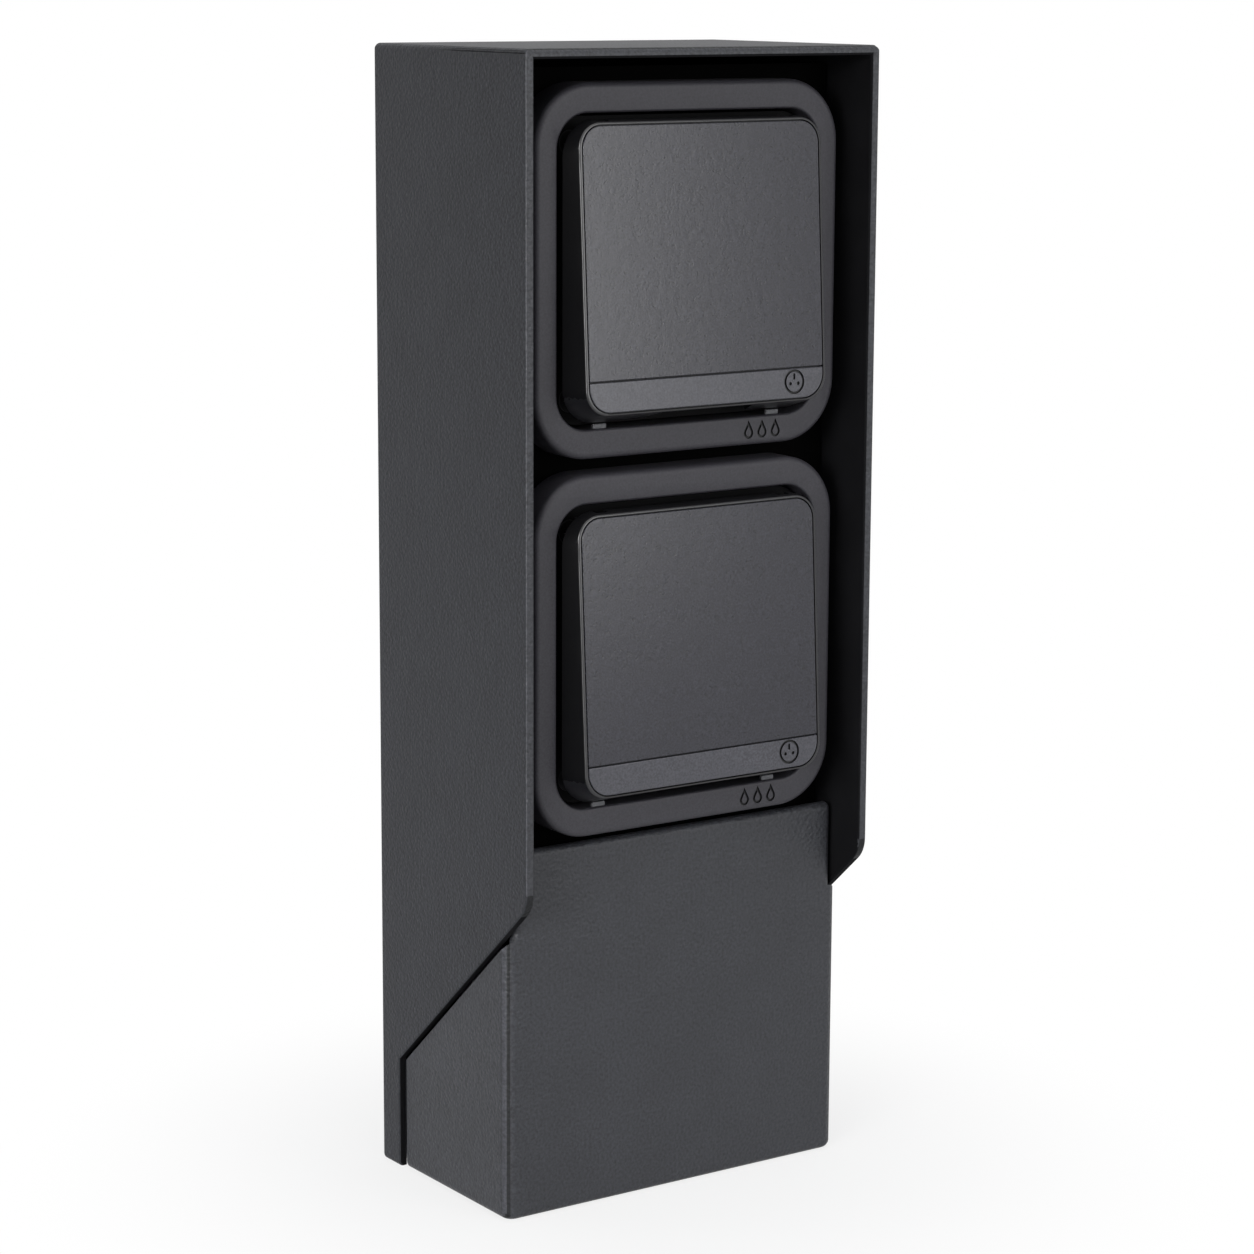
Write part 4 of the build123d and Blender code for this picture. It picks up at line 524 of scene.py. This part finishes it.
class SOCKETPOST_OT_hood(bpy.types.Operator):
    """Coated hood with soft cut edges, painted highlights on its front edges, and painted shade inside and on
    its cut edges
    """

    bl_idname = "socketpost.hood"
    bl_label = "Hood"
    coats = ("hood_coat", "powder_coat_edge", "inner_painted_shade", "bend_line", "thin_coat")    # slots in order
    corner_sag = 0.4 * MM       # the inside's rounded corners stand out from its walls by less than this
    highlight_turns = (0.5, 0.85)    # the left edge's painted highlight line lies where the normal turns outwards this far

    def execute(self, context):
        sizes = context.scene.socket_post_sizes
        mesh = merged("hood")
        self.weigh_edges(mesh)
        piece = as_object("coated_hood", mesh)
        soften(piece, sizes.sheet_edge)
        piece.data.attributes.remove(piece.data.attributes[EDGE_WEIGHTS])
        finish_piece(piece, "hood", FINISHES, *self.coats)
        for polygon in piece.data.polygons:
            coat = self.coat(polygon.center, polygon.normal, sizes.sheet_edge)
            polygon.material_index = self.coats.index(coat)
        return {"FINISHED"}

    def weigh_edges(self, mesh):
        """The borders of the cut faces at the front get a weight, and other sharp edges stay crisp."""
        weights = mesh.edges.layers.float.new(EDGE_WEIGHTS)
        for edge in mesh.edges:
            if edge.calc_face_angle(0) < SHARP:
                continue
            cut_faces = [face for face in edge.link_faces
                         if face.normal.y < -TURNED and abs(face.normal.x) < EVEN
                         and face.calc_center_median().y < HOOD_HIGH.y - 2 * SHEET]
            if len(cut_faces) == 1:
                edge[weights] = 1.0
            else:
                edge.smooth = False

    def coat(self, centre, normal, edge):
        """Which coat, painted highlight or painted shade a face has; edge is the width of the rounding along
        the cut edges.
        """
        skin = SHEET - self.corner_sag
        inside_x = abs(centre.x) < HOOD_HIGH.x - skin
        inside_z = centre.z < HOOD_HIGH.z - skin
        inside_y = centre.y < HOOD_HIGH.y - skin
        at_front = centre.y < HOOD_LOW.y + edge
        # the inside gets the near-black painted shade
        if inside_x and inside_z and inside_y and not at_front:
            return "inner_painted_shade"
        if at_front and centre.z > ROUND_TOP:
            outwards = math.copysign(1.0, centre.x) * normal.x
            # front-edge faces turned inwards or down get that painted shade too
            if outwards < -TURNED or normal.z < -TURNED:
                return "inner_painted_shade"
            # the right wall's outer front edge gets the darker painted shade
            if centre.x > HOOD_HIGH.x - SHEET and outwards > TURNED:
                return "thin_coat"
            # a band of the left wall's front rounding gets a painted highlight line
            if centre.x < SHEET - HOOD_HIGH.x and self.highlight_turns[0] < outwards < self.highlight_turns[1]:
                return "bend_line"
            # the rest of the front edge that faces the front gets the lighter painted highlight
            return "powder_coat_edge" if normal.y < -TURNED else "hood_coat"
        # other front-facing cut faces: near-black painted shade below CUT_TOP, in the slit beside the base
        # cover, and the darker painted shade above it
        if normal.y < -TURNED and abs(normal.x) < TURNED:
            return "inner_painted_shade" if centre.z < CUT_TOP else "thin_coat"
        return "hood_coat"


class SOCKETPOST_OT_base(bpy.types.Operator):
    """Coated base cover with soft edges, painted highlight lines and painted shade across its front bends"""

    bl_idname = "socketpost.base"
    bl_label = "Base cover"
    # Painted highlight lines and painted shade across a front bend, each between two shares of the normal
    # that point sideways
    bands = ((0.80, 0.96, "bend_line"), (0.58, 0.79, "thin_coat"), (0.30, 0.53, "powder_coat_edge"))

    def execute(self, context):
        sizes = context.scene.socket_post_sizes
        piece = as_object("coated_base_cover", merged("base_cover"))
        soften(piece, sizes.sheet_edge)
        finish_piece(piece, "base_cover", FINISHES, "powder_coat", *(finish for _, _, finish in self.bands))
        for polygon in piece.data.polygons:
            in_bend = abs(polygon.center.x) > HOOD_HIGH.x - COVER_BEND and polygon.normal.y < 0
            for index, (low, high, _) in enumerate(self.bands, 1):
                if in_bend and low < abs(polygon.normal.x) < high:
                    polygon.material_index = index
        return {"FINISHED"}


class SOCKETPOST_OT_frames(bpy.types.Operator):
    """Moulded frames with sunk drop marks, darkened with the lids' black as painted shade"""

    bl_idname = "socketpost.frames"
    bl_label = "Socket frames"
    steps = 18                          # points on the belly of a drop
    mark_reach = (8 * MM, 3 * MM)       # half the width and height of the place of the marks
    depth_reach = 1.5                   # how deep it goes, in depths of a mark

    def execute(self, context):
        sizes = context.scene.socket_post_sizes
        for side in SIDES:
            node = side + "_frame"
            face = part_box(node)[0].y
            middle = centre_height(side)
            piece = as_object(side + "_moulded_frame", merged(node))
            soften(piece, sizes.mould_edge)

            def place(u, v, out):
                return Vector((u, face + sizes.mark_depth if out == 0 else face - OVERRUN, v))

            for i in range(sizes.drops):
                u = MARK_X + (i - (sizes.drops - 1) / 2) * sizes.drop_pitch
                v = middle - MARK_DOWN
                outer = drop(sizes.drop_height, 0.0, self.steps, u, v)
                inner = drop(sizes.drop_height, sizes.sign_line, self.steps, u, v)
                cut(piece, ring_cutter("drop_cutter", outer, inner, place))
            finish_piece(piece, node, FINISHES, "frame_plastic", "lid_plastic")
            reach_x, reach_z = self.mark_reach
            # faces in the sunk drop marks get the lids' black: painted shade in the recesses
            for polygon in piece.data.polygons:
                centre = polygon.center
                near = abs(centre.x - MARK_X) < reach_x and abs(centre.z - middle + MARK_DOWN) < reach_z
                if near and face + SKIN < centre.y < face + self.depth_reach * sizes.mark_depth:
                    polygon.material_index = 1
        return {"FINISHED"}


class SOCKETPOST_OT_lids(bpy.types.Operator):
    """Lid shells with a painted highlight on their rim and underside, inset panels, and label strips with the
    sunk socket sign in painted shade
    """

    bl_idname = "socketpost.lids"
    bl_label = "Lids"
    rim_depth = 1.0 * MM            # how far the painted highlight on the rim round the panel reaches back
    rim_turn = 0.6                  # and how much its faces are turned to the front
    underside = 20 * MM             # the underside, which gets the same painted highlight, lies further than this below a lid's centre
    under_turn = -0.25              # and its faces are turned down more than this
    depth_reach = 1.3               # how deep the place of the sign goes, in depths of a mark
    ring_steps, dot_steps, end_steps = 48, 16, 6        # points on the sign's round outlines
    slot = (0.62 * MM, 1.7 * MM, 1.35 * MM)             # width, height, and place above the sign's centre
    dot = (0.46 * MM, 1.25 * MM, -0.45 * MM)            # radius, and place beside and above that centre

    def execute(self, context):
        sizes = context.scene.socket_post_sizes
        for side in SIDES:
            shell = as_object(side + "_lid_shell", merged(side + "_lid"))
            soften(shell, sizes.mould_edge, 2)
            finish_piece(shell, side + "_lid", FINISHES, "lid_plastic", "lid_rim_highlight_plastic")
            front = max(v.co.dot(LID_NORMAL) for v in shell.data.vertices)
            bottom = centre_height(side) - self.underside
            # the rim round the panel and the underside get the painted highlight
            for polygon in shell.data.polygons:
                near = front - polygon.center.dot(LID_NORMAL) < self.rim_depth
                turned = polygon.normal.dot(LID_NORMAL) > self.rim_turn
                under = polygon.center.z < bottom and polygon.normal.z < self.under_turn
                if (near and turned) or under:
                    polygon.material_index = 1
            panel = as_object(side + "_inset_panel", merged(side + "_lid_panel"))
            soften(panel, sizes.fine_edge)
            finish_piece(panel, side + "_lid_panel", FINISHES, "panel_plastic")
            strip = as_object(side + "_label_strip", merged(side + "_lid_strip"))
            soften(strip, sizes.fine_edge)
            self.sink_sign(strip, side, sizes)
            finish_piece(strip, side + "_lid_strip", FINISHES, "strip_plastic", "lid_plastic")
            reach = max(v.co.dot(LID_NORMAL) for v in strip.data.vertices)
            # faces in the sunk sign get the lids' black: painted shade in the recesses
            for polygon in strip.data.polygons:
                sunk = reach - polygon.center.dot(LID_NORMAL)
                in_sign = abs(polygon.center.x - SIGN_X) < sizes.sign_radius + 2 * SKIN
                if in_sign and SKIN < sunk < self.depth_reach * sizes.mark_depth:
                    polygon.material_index = 1
        return {"FINISHED"}

    def sink_sign(self, strip, side, sizes):
        """Ring with a slot above two round holes, as on a socket with an earth pin."""
        up = Vector((0, LID_NORMAL.z, -LID_NORMAL.y))
        reach = max(v.co.dot(LID_NORMAL) for v in strip.data.vertices)
        height = centre_height(side) - SIGN_DOWN
        centre = Vector((SIGN_X, (reach - height * LID_NORMAL.z) / LID_NORMAL.y, height))

        def place(u, v, out):
            depth = -sizes.mark_depth if out == 0 else OVERRUN
            return centre + Vector((u, 0, 0)) + up * v + LID_NORMAL * depth

        outer = circle(sizes.sign_radius, self.ring_steps)
        inner = circle(sizes.sign_radius - sizes.sign_line, self.ring_steps)
        cut(strip, ring_cutter("ring_cutter", outer, inner, place))
        width, height, above = self.slot
        cut(strip, plug_cutter("slot_cutter", rounded_bar(width, height, self.end_steps, 0.0, above), place))
        radius, beside, above = self.dot
        for u in (-beside, beside):
            cut(strip, plug_cutter("dot_cutter", circle(radius, self.dot_steps, u, above), place))


class SOCKETPOST_OT_sockets(bpy.types.Operator):
    """Socket inserts, their wells, and the stops under the lids"""

    bl_idname = "socketpost.sockets"
    bl_label = "Sockets"
    mouldings = (("_socket_insert", "_insert_moulding", "insert_plastic"),
                 ("_socket_well", "_well_moulding", "well_plastic"),
                 ("_lid_stops", "_stop_tabs", "stop_plastic"))
    tab_shares = (0.84, 0.75)       # width and height of a stop tab against its block's

    def execute(self, context):
        sizes = context.scene.socket_post_sizes
        for side in SIDES:
            for node, name, finish in self.mouldings:
                mesh = merged(side + node)
                if node == "_lid_stops":
                    self.trim(mesh)
                piece = as_object(side + name, mesh)
                soften(piece, sizes.fine_edge, 2)
                finish_piece(piece, side + node, FINISHES, finish)
            paint(side + "_shutter", FINISHES, "shutter_plastic")
        return {"FINISHED"}

    def trim(self, mesh):
        """The tabs are narrower and lower than the blocks that they stand for."""
        width, height = self.tab_shares
        low = min(v.co.z for v in mesh.verts)
        for half in (-1, 1):
            tab = [v for v in mesh.verts if v.co.x * half > 0]
            middle = sum(v.co.x for v in tab) / len(tab)
            for vert in tab:
                vert.co.x = middle + width * (vert.co.x - middle)
                vert.co.z = low + height * (vert.co.z - low)


def screw_places(nodes):
    """X, lowest and highest Y, and Z of each screw in the given nodes, from their loose parts."""
    places = []
    for node in nodes:
        mesh = merged(node)
        seen = set()
        for start in mesh.verts:
            if start in seen:
                continue
            seen.add(start)
            group, rim = [start], [start]
            while rim:
                for edge in rim.pop().link_edges:
                    for vert in edge.verts:
                        if vert not in seen:
                            seen.add(vert)
                            group.append(vert)
                            rim.append(vert)
            low = [min(v.co[i] for v in group) for i in range(3)]
            high = [max(v.co[i] for v in group) for i in range(3)]
            places.append(((low[0] + high[0]) / 2, low[1], high[1], (low[2] + high[2]) / 2))
        mesh.free()
    return places


def screw_tree(name, recess_sides=None):
    """Geometry nodes that put a screw on each point, its head towards +Y where the turn is 0.

    Its recess has the given number of sides, or is a cross."""
    tree = bpy.data.node_groups.new(name, "GeometryNodeTree")
    tree.interface.new_socket("Places", in_out="INPUT", socket_type="NodeSocketGeometry")
    for socket in ("Head Radius", "Head Height", "Shank Radius", "Length", "Recess Radius", "Recess Depth",
                   "Turn"):
        tree.interface.new_socket(socket, in_out="INPUT", socket_type="NodeSocketFloat")
    tree.interface.new_socket("Finish", in_out="INPUT", socket_type="NodeSocketMaterial")
    tree.interface.new_socket("Screws", in_out="OUTPUT", socket_type="NodeSocketGeometry")
    source = add(tree, "NodeGroupInput")
    sink = add(tree, "NodeGroupOutput")

    def value(operation, a, b):
        """What an operation makes of two inputs: names of the group's, numbers or sockets."""
        node = add(tree, "ShaderNodeMath", {"operation": operation})
        for key, item in ((0, a), (1, b)):
            if isinstance(item, str):
                tree.links.new(source.outputs[item], node.inputs[key])
            elif isinstance(item, float):
                node.inputs[key].default_value = item
            else:
                tree.links.new(item, node.inputs[key])
        return node.outputs[0]

    def prism(sides, radius, height, middle=None):
        """A prism whose axis runs along Y, with its middle at a depth."""
        shape = add(tree, "GeometryNodeMeshCylinder", inputs={"Vertices": sides},
                    links={"Radius": source.outputs[radius], "Depth": height})
        turned = add(tree, "GeometryNodeTransform", inputs={"Rotation": (math.pi / 2, 0, 0)},
                     links={"Geometry": shape.outputs["Mesh"]})
        if middle is not None:
            place = add(tree, "ShaderNodeCombineXYZ", links={"Y": middle})
            tree.links.new(place.outputs["Vector"], turned.inputs["Translation"])
        return turned.outputs["Geometry"]

    head = prism(HEAD_SIDES, "Head Radius", source.outputs["Head Height"],
                 value("MULTIPLY", "Head Height", -0.5))
    overlap = value("MULTIPLY", "Head Height", 0.5)
    run = value("ADD", "Length", overlap)
    shank = prism(SHANK_SIDES, "Shank Radius", run, value("SUBTRACT", value("MULTIPLY", run, -0.5), overlap))
    body = add(tree, "GeometryNodeMeshBoolean", {"operation": "UNION", "solver": "EXACT"})
    tree.links.new(head, body.inputs["Mesh 2"])
    tree.links.new(shank, body.inputs["Mesh 2"])
    carved = body.outputs["Mesh"]
    depth = value("MULTIPLY", "Recess Depth", 2.0)
    if recess_sides is None:
        wide = value("MULTIPLY", "Recess Radius", 2.0)
        narrow = value("MULTIPLY", "Recess Radius", CROSS_ARM)
        tools = []
        for x, z in ((narrow, wide), (wide, narrow)):
            size = add(tree, "ShaderNodeCombineXYZ", links={"X": x, "Y": depth, "Z": z})
            arm = add(tree, "GeometryNodeMeshCube", links={"Size": size.outputs["Vector"]})
            tools.append(arm.outputs["Mesh"])
    else:
        tools = [prism(recess_sides, "Recess Radius", depth)]
    for tool in tools:
        cutting = add(tree, "GeometryNodeMeshBoolean", {"operation": "DIFFERENCE", "solver": "EXACT"},
                      links={"Mesh 1": carved, "Mesh 2": tool})
        carved = cutting.outputs["Mesh"]
    points = add(tree, "GeometryNodeMeshToPoints", links={"Mesh": source.outputs["Places"]})
    turned = add(tree, "ShaderNodeCombineXYZ", links={"Z": source.outputs["Turn"]})
    copies = add(tree, "GeometryNodeInstanceOnPoints",
                 links={"Points": points.outputs["Points"], "Instance": carved,
                        "Rotation": turned.outputs["Vector"]})
    real = add(tree, "GeometryNodeRealizeInstances", links={"Geometry": copies.outputs["Instances"]})
    finish = add(tree, "GeometryNodeSetMaterial",
                 links={"Geometry": real.outputs["Geometry"], "Material": source.outputs["Finish"]})
    tree.links.new(finish.outputs["Geometry"], sink.inputs["Screws"])
    return tree


def screw_set(name, tree, spots, values, finish):
    """One mesh of screws on the given spots; the head's outer face is on the spot."""
    mesh = bmesh.new()
    for spot in spots:
        mesh.verts.new(spot)
    piece = as_object(name, mesh)
    modifier = piece.modifiers.new("screws", "NODES")
    modifier.node_group = tree
    for item in tree.interface.items_tree:
        if item.in_out == "INPUT" and item.name in values:
            modifier[item.identifier] = values[item.name]
        elif item.in_out == "INPUT" and item.name == "Finish":
            modifier[item.identifier] = finish
    return baked(piece)


class SOCKETPOST_OT_screws(bpy.types.Operator):
    """Screws on the back of the hood and in the socket inserts"""

    bl_idname = "socketpost.screws"
    bl_label = "Screws"
    crease = math.radians(50)       # edges flatter than this, as round a head, aren't rounded

    def execute(self, context):
        self.fit("back_screws", ("chassis_screws", "cover_screws", "foot_screws"),
                 screw_tree("hex_socket_screw", recess_sides=6), FINISHES["stainless_steel"], 0.35 * MM,
                 {"Head Radius": 3.8 * MM, "Head Height": 1.7 * MM, "Shank Radius": 2.0 * MM,
                  "Recess Radius": 1.45 * MM, "Recess Depth": 1.1 * MM, "Turn": 0.0})
        # the insert screws get blackened steel: painted shade where they sit beside the lids
        self.fit("front_screws", ("upper_insert_screws", "lower_insert_screws"),
                 screw_tree("cross_recess_screw"), FINISHES["blackened_steel"], 0.2 * MM,
                 {"Head Radius": 3.1 * MM, "Head Height": 1.4 * MM, "Shank Radius": 1.75 * MM,
                  "Recess Radius": 1.7 * MM, "Recess Depth": 0.9 * MM, "Turn": math.pi})
        return {"FINISHED"}

    def fit(self, name, nodes, tree, finish, edge, values):
        """Puts screws where the nodes have theirs, as long as those, and lets them stand for the nodes."""
        places = screw_places(nodes)
        front = values["Turn"] > 0
        values["Length"] = places[0][2] - places[0][1] - values["Head Height"]
        spots = [(x, low if front else high, z) for x, low, high, z in places]
        piece = screw_set(name, tree, spots, values, finish)
        soften(piece, edge, angle=self.crease)
        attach(piece, "root")
        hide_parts(*nodes)


def ray_share(tree, first, *others):
    """A value that is 1 for the named kinds of rays and 0 for all others."""
    rays = add(tree, "ShaderNodeLightPath")
    total = rays.outputs[first]
    for kind in others:
        total = add(tree, "ShaderNodeMath", {"operation": "MAXIMUM"},
                    links={0: total, 1: rays.outputs[kind]}).outputs[0]
    return total


class SOCKETPOST_OT_stage(bpy.types.Operator):
    """Camera, lamps, white floor and white room"""

    bl_idname = "socketpost.stage"
    bl_label = "Stage"

    # The photograph's camera, in metres and radians
    position = Vector((-0.51273, -0.74564, 0.31949))
    yaw = 0.6033
    pitch = -0.18795
    roll = 0.0048
    focal_pixels = 3472.7
    frame_pixels = 1254
    sensor = 36.0

    floor_half = 6.0                # half the floor's width
    floor_white = 0.66              # the floor's own white
    floor_glow = (0.76, 1.0)        # how much of it is plain white to the camera, near the post and far off
    glow_reach = (0.04, 0.17)       # where that share starts to rise and where it ends
    daylight = (0.94, 0.97, 1.0)    # cool light of the room
    daylight_strength = 0.42

    def execute(self, context):
        self.camera(context)
        self.floor(context)
        self.world(context)
        self.lamp("soft_top", (-0.15, -0.45, 1.6), (0, 0, 0.15), size=1.5, power=14.0)
        self.lamp("soft_left", (-1.4, -0.7, 0.2), (0, 0, -0.3), size=0.9, power=2.7, spread=40)
        self.lamp("soft_front", (0.64, -1.61, 0.44), (0, 0, 0.2), size=0.7, power=9.5, height=0.84)
        rim = self.lamp("soft_rim", (-1.2, -0.85, 0.4), (0, 0, 0.15), size=0.4, power=14.0, height=0.9)
        rim.visible_diffuse = False
        context.scene.view_settings.view_transform = "Standard"
        return {"FINISHED"}

    def camera(self, context):
        """The camera where the photograph's stood, turned and zoomed as that was."""
        data = bpy.data.cameras.new("camera")
        data.sensor_width = self.sensor
        data.lens = self.sensor * self.focal_pixels / self.frame_pixels
        data.clip_start = 0.05
        data.clip_end = 50.0
        ahead = Vector((math.sin(self.yaw) * math.cos(self.pitch), math.cos(self.yaw) * math.cos(self.pitch),
                        math.sin(self.pitch)))
        right = ahead.cross(Vector((0, 0, 1))).normalized()
        up = right.cross(ahead)
        turned = right * math.cos(self.roll) + up * math.sin(self.roll)
        lifted = turned.cross(ahead)
        matrix = Matrix((turned, lifted, -ahead)).transposed().to_4x4()
        matrix.translation = self.position
        camera = bpy.data.objects.new("camera", data)
        camera.matrix_world = matrix
        context.scene.collection.objects.link(camera)
        context.scene.camera = camera

    def floor(self, context):
        """White floor; away from the post it is plain white to the camera, so it meets the room unseen."""
        mesh = bmesh.new()
        half = self.floor_half
        corners = [mesh.verts.new((x * half, y * half, 0)) for x, y in ((-1, -1), (1, -1), (1, 1), (-1, 1))]
        mesh.faces.new(corners)
        floor = as_object("floor", mesh)
        material, tree, shader = new_material("white_studio_floor", roughness=0.9, specular=0.0)
        shader.inputs["Base Color"].default_value = (self.floor_white,) * 3 + (1.0,)
        place = add(tree, "ShaderNodeTexCoord")
        reach = add(tree, "ShaderNodeVectorMath", {"operation": "LENGTH"}, links={0: place.outputs["Object"]})
        far = add(tree, "ShaderNodeMapRange", {"interpolation_type": "SMOOTHSTEP"},
                  {"From Min": self.glow_reach[0], "From Max": self.glow_reach[1]},
                  {"Value": reach.outputs["Value"]})
        lift = add(tree, "ShaderNodeMapRange",
                   inputs={"To Min": self.floor_glow[0], "To Max": self.floor_glow[1]},
                   links={"Value": far.outputs["Result"]})
        share = add(tree, "ShaderNodeMath", {"operation": "MULTIPLY"},
                    links={0: lift.outputs["Result"],
                           1: ray_share(tree, "Is Camera Ray", "Is Glossy Ray")})
        glow = add(tree, "ShaderNodeEmission", inputs={"Color": (1, 1, 1, 1), "Strength": 1.0})
        mix = add(tree, "ShaderNodeMixShader", links={0: share.outputs[0], 1: shader.outputs["BSDF"],
                                                      2: glow.outputs["Emission"]})
        output = next(n for n in tree.nodes if n.type == "OUTPUT_MATERIAL")
        tree.links.new(mix.outputs["Shader"], output.inputs["Surface"])
        floor.data.materials.append(material)

    def world(self, context):
        """A plain white room to the camera and in reflections, whose light on the post is dimmer and cool."""
        world = bpy.data.worlds.new("studio")
        world.use_nodes = True
        tree = world.node_tree
        tree.nodes.clear()
        lit = add(tree, "ShaderNodeBackground",
                  inputs={"Color": self.daylight + (1.0,), "Strength": self.daylight_strength})
        shown = add(tree, "ShaderNodeBackground", inputs={"Color": (1, 1, 1, 1), "Strength": 1.0})
        direct = ray_share(tree, "Is Camera Ray", "Is Glossy Ray", "Is Transmission Ray")
        mix = add(tree, "ShaderNodeMixShader",
                  links={0: direct, 1: lit.outputs["Background"], 2: shown.outputs["Background"]})
        output = add(tree, "ShaderNodeOutputWorld")
        tree.links.new(mix.outputs["Shader"], output.inputs["Surface"])
        context.scene.world = world

    def lamp(self, name, position, target, size, power, height=None, spread=180):
        """A soft box; a grid narrows its beam to the spread, in degrees."""
        data = bpy.data.lights.new(name, "AREA")
        data.spread = math.radians(spread)
        data.shape = "RECTANGLE"
        data.size = size
        data.size_y = height or size
        data.energy = power
        lamp = bpy.data.objects.new(name, data)
        lamp.location = position
        lamp.rotation_euler = (Vector(target) - Vector(position)).to_track_quat("-Z", "Y").to_euler()
        bpy.context.scene.collection.objects.link(lamp)
        return lamp


class SOCKETPOST_PT_panel(bpy.types.Panel):
    """Panel that lists the steps and the settings"""

    bl_idname = "SOCKETPOST_PT_panel"
    bl_label = "Garden socket post"
    bl_space_type = "VIEW_3D"
    bl_region_type = "UI"
    bl_category = "Socket post"

    def draw(self, context):
        layout = self.layout
        for step in STEPS:
            layout.operator(step.bl_idname)
        for settings in (context.scene.socket_post_sizes, context.scene.socket_post_colours):
            box = layout.box()
            for name in settings.bl_rna.properties.keys():
                if name not in ("rna_type", "name"):
                    box.prop(settings, name)


STEPS = (SOCKETPOST_OT_stage, SOCKETPOST_OT_finishes, SOCKETPOST_OT_hood, SOCKETPOST_OT_base,
         SOCKETPOST_OT_frames, SOCKETPOST_OT_lids, SOCKETPOST_OT_sockets, SOCKETPOST_OT_screws)
CLASSES = (SizeSettings, ColourSettings) + STEPS + (SOCKETPOST_PT_panel,)


def register():
    for item in CLASSES:
        bpy.utils.register_class(item)
    bpy.types.Scene.socket_post_sizes = PointerProperty(type=SizeSettings)
    bpy.types.Scene.socket_post_colours = PointerProperty(type=ColourSettings)


def unregister():
    del bpy.types.Scene.socket_post_colours
    del bpy.types.Scene.socket_post_sizes
    for item in reversed(CLASSES):
        bpy.utils.unregister_class(item)


def main():
    register()
    bpy.ops.socketpost.stage()
    bpy.ops.socketpost.finishes()
    bpy.ops.socketpost.hood()
    bpy.ops.socketpost.base()
    bpy.ops.socketpost.frames()
    bpy.ops.socketpost.lids()
    bpy.ops.socketpost.sockets()
    bpy.ops.socketpost.screws()


if __name__ == "__main__":
    main()
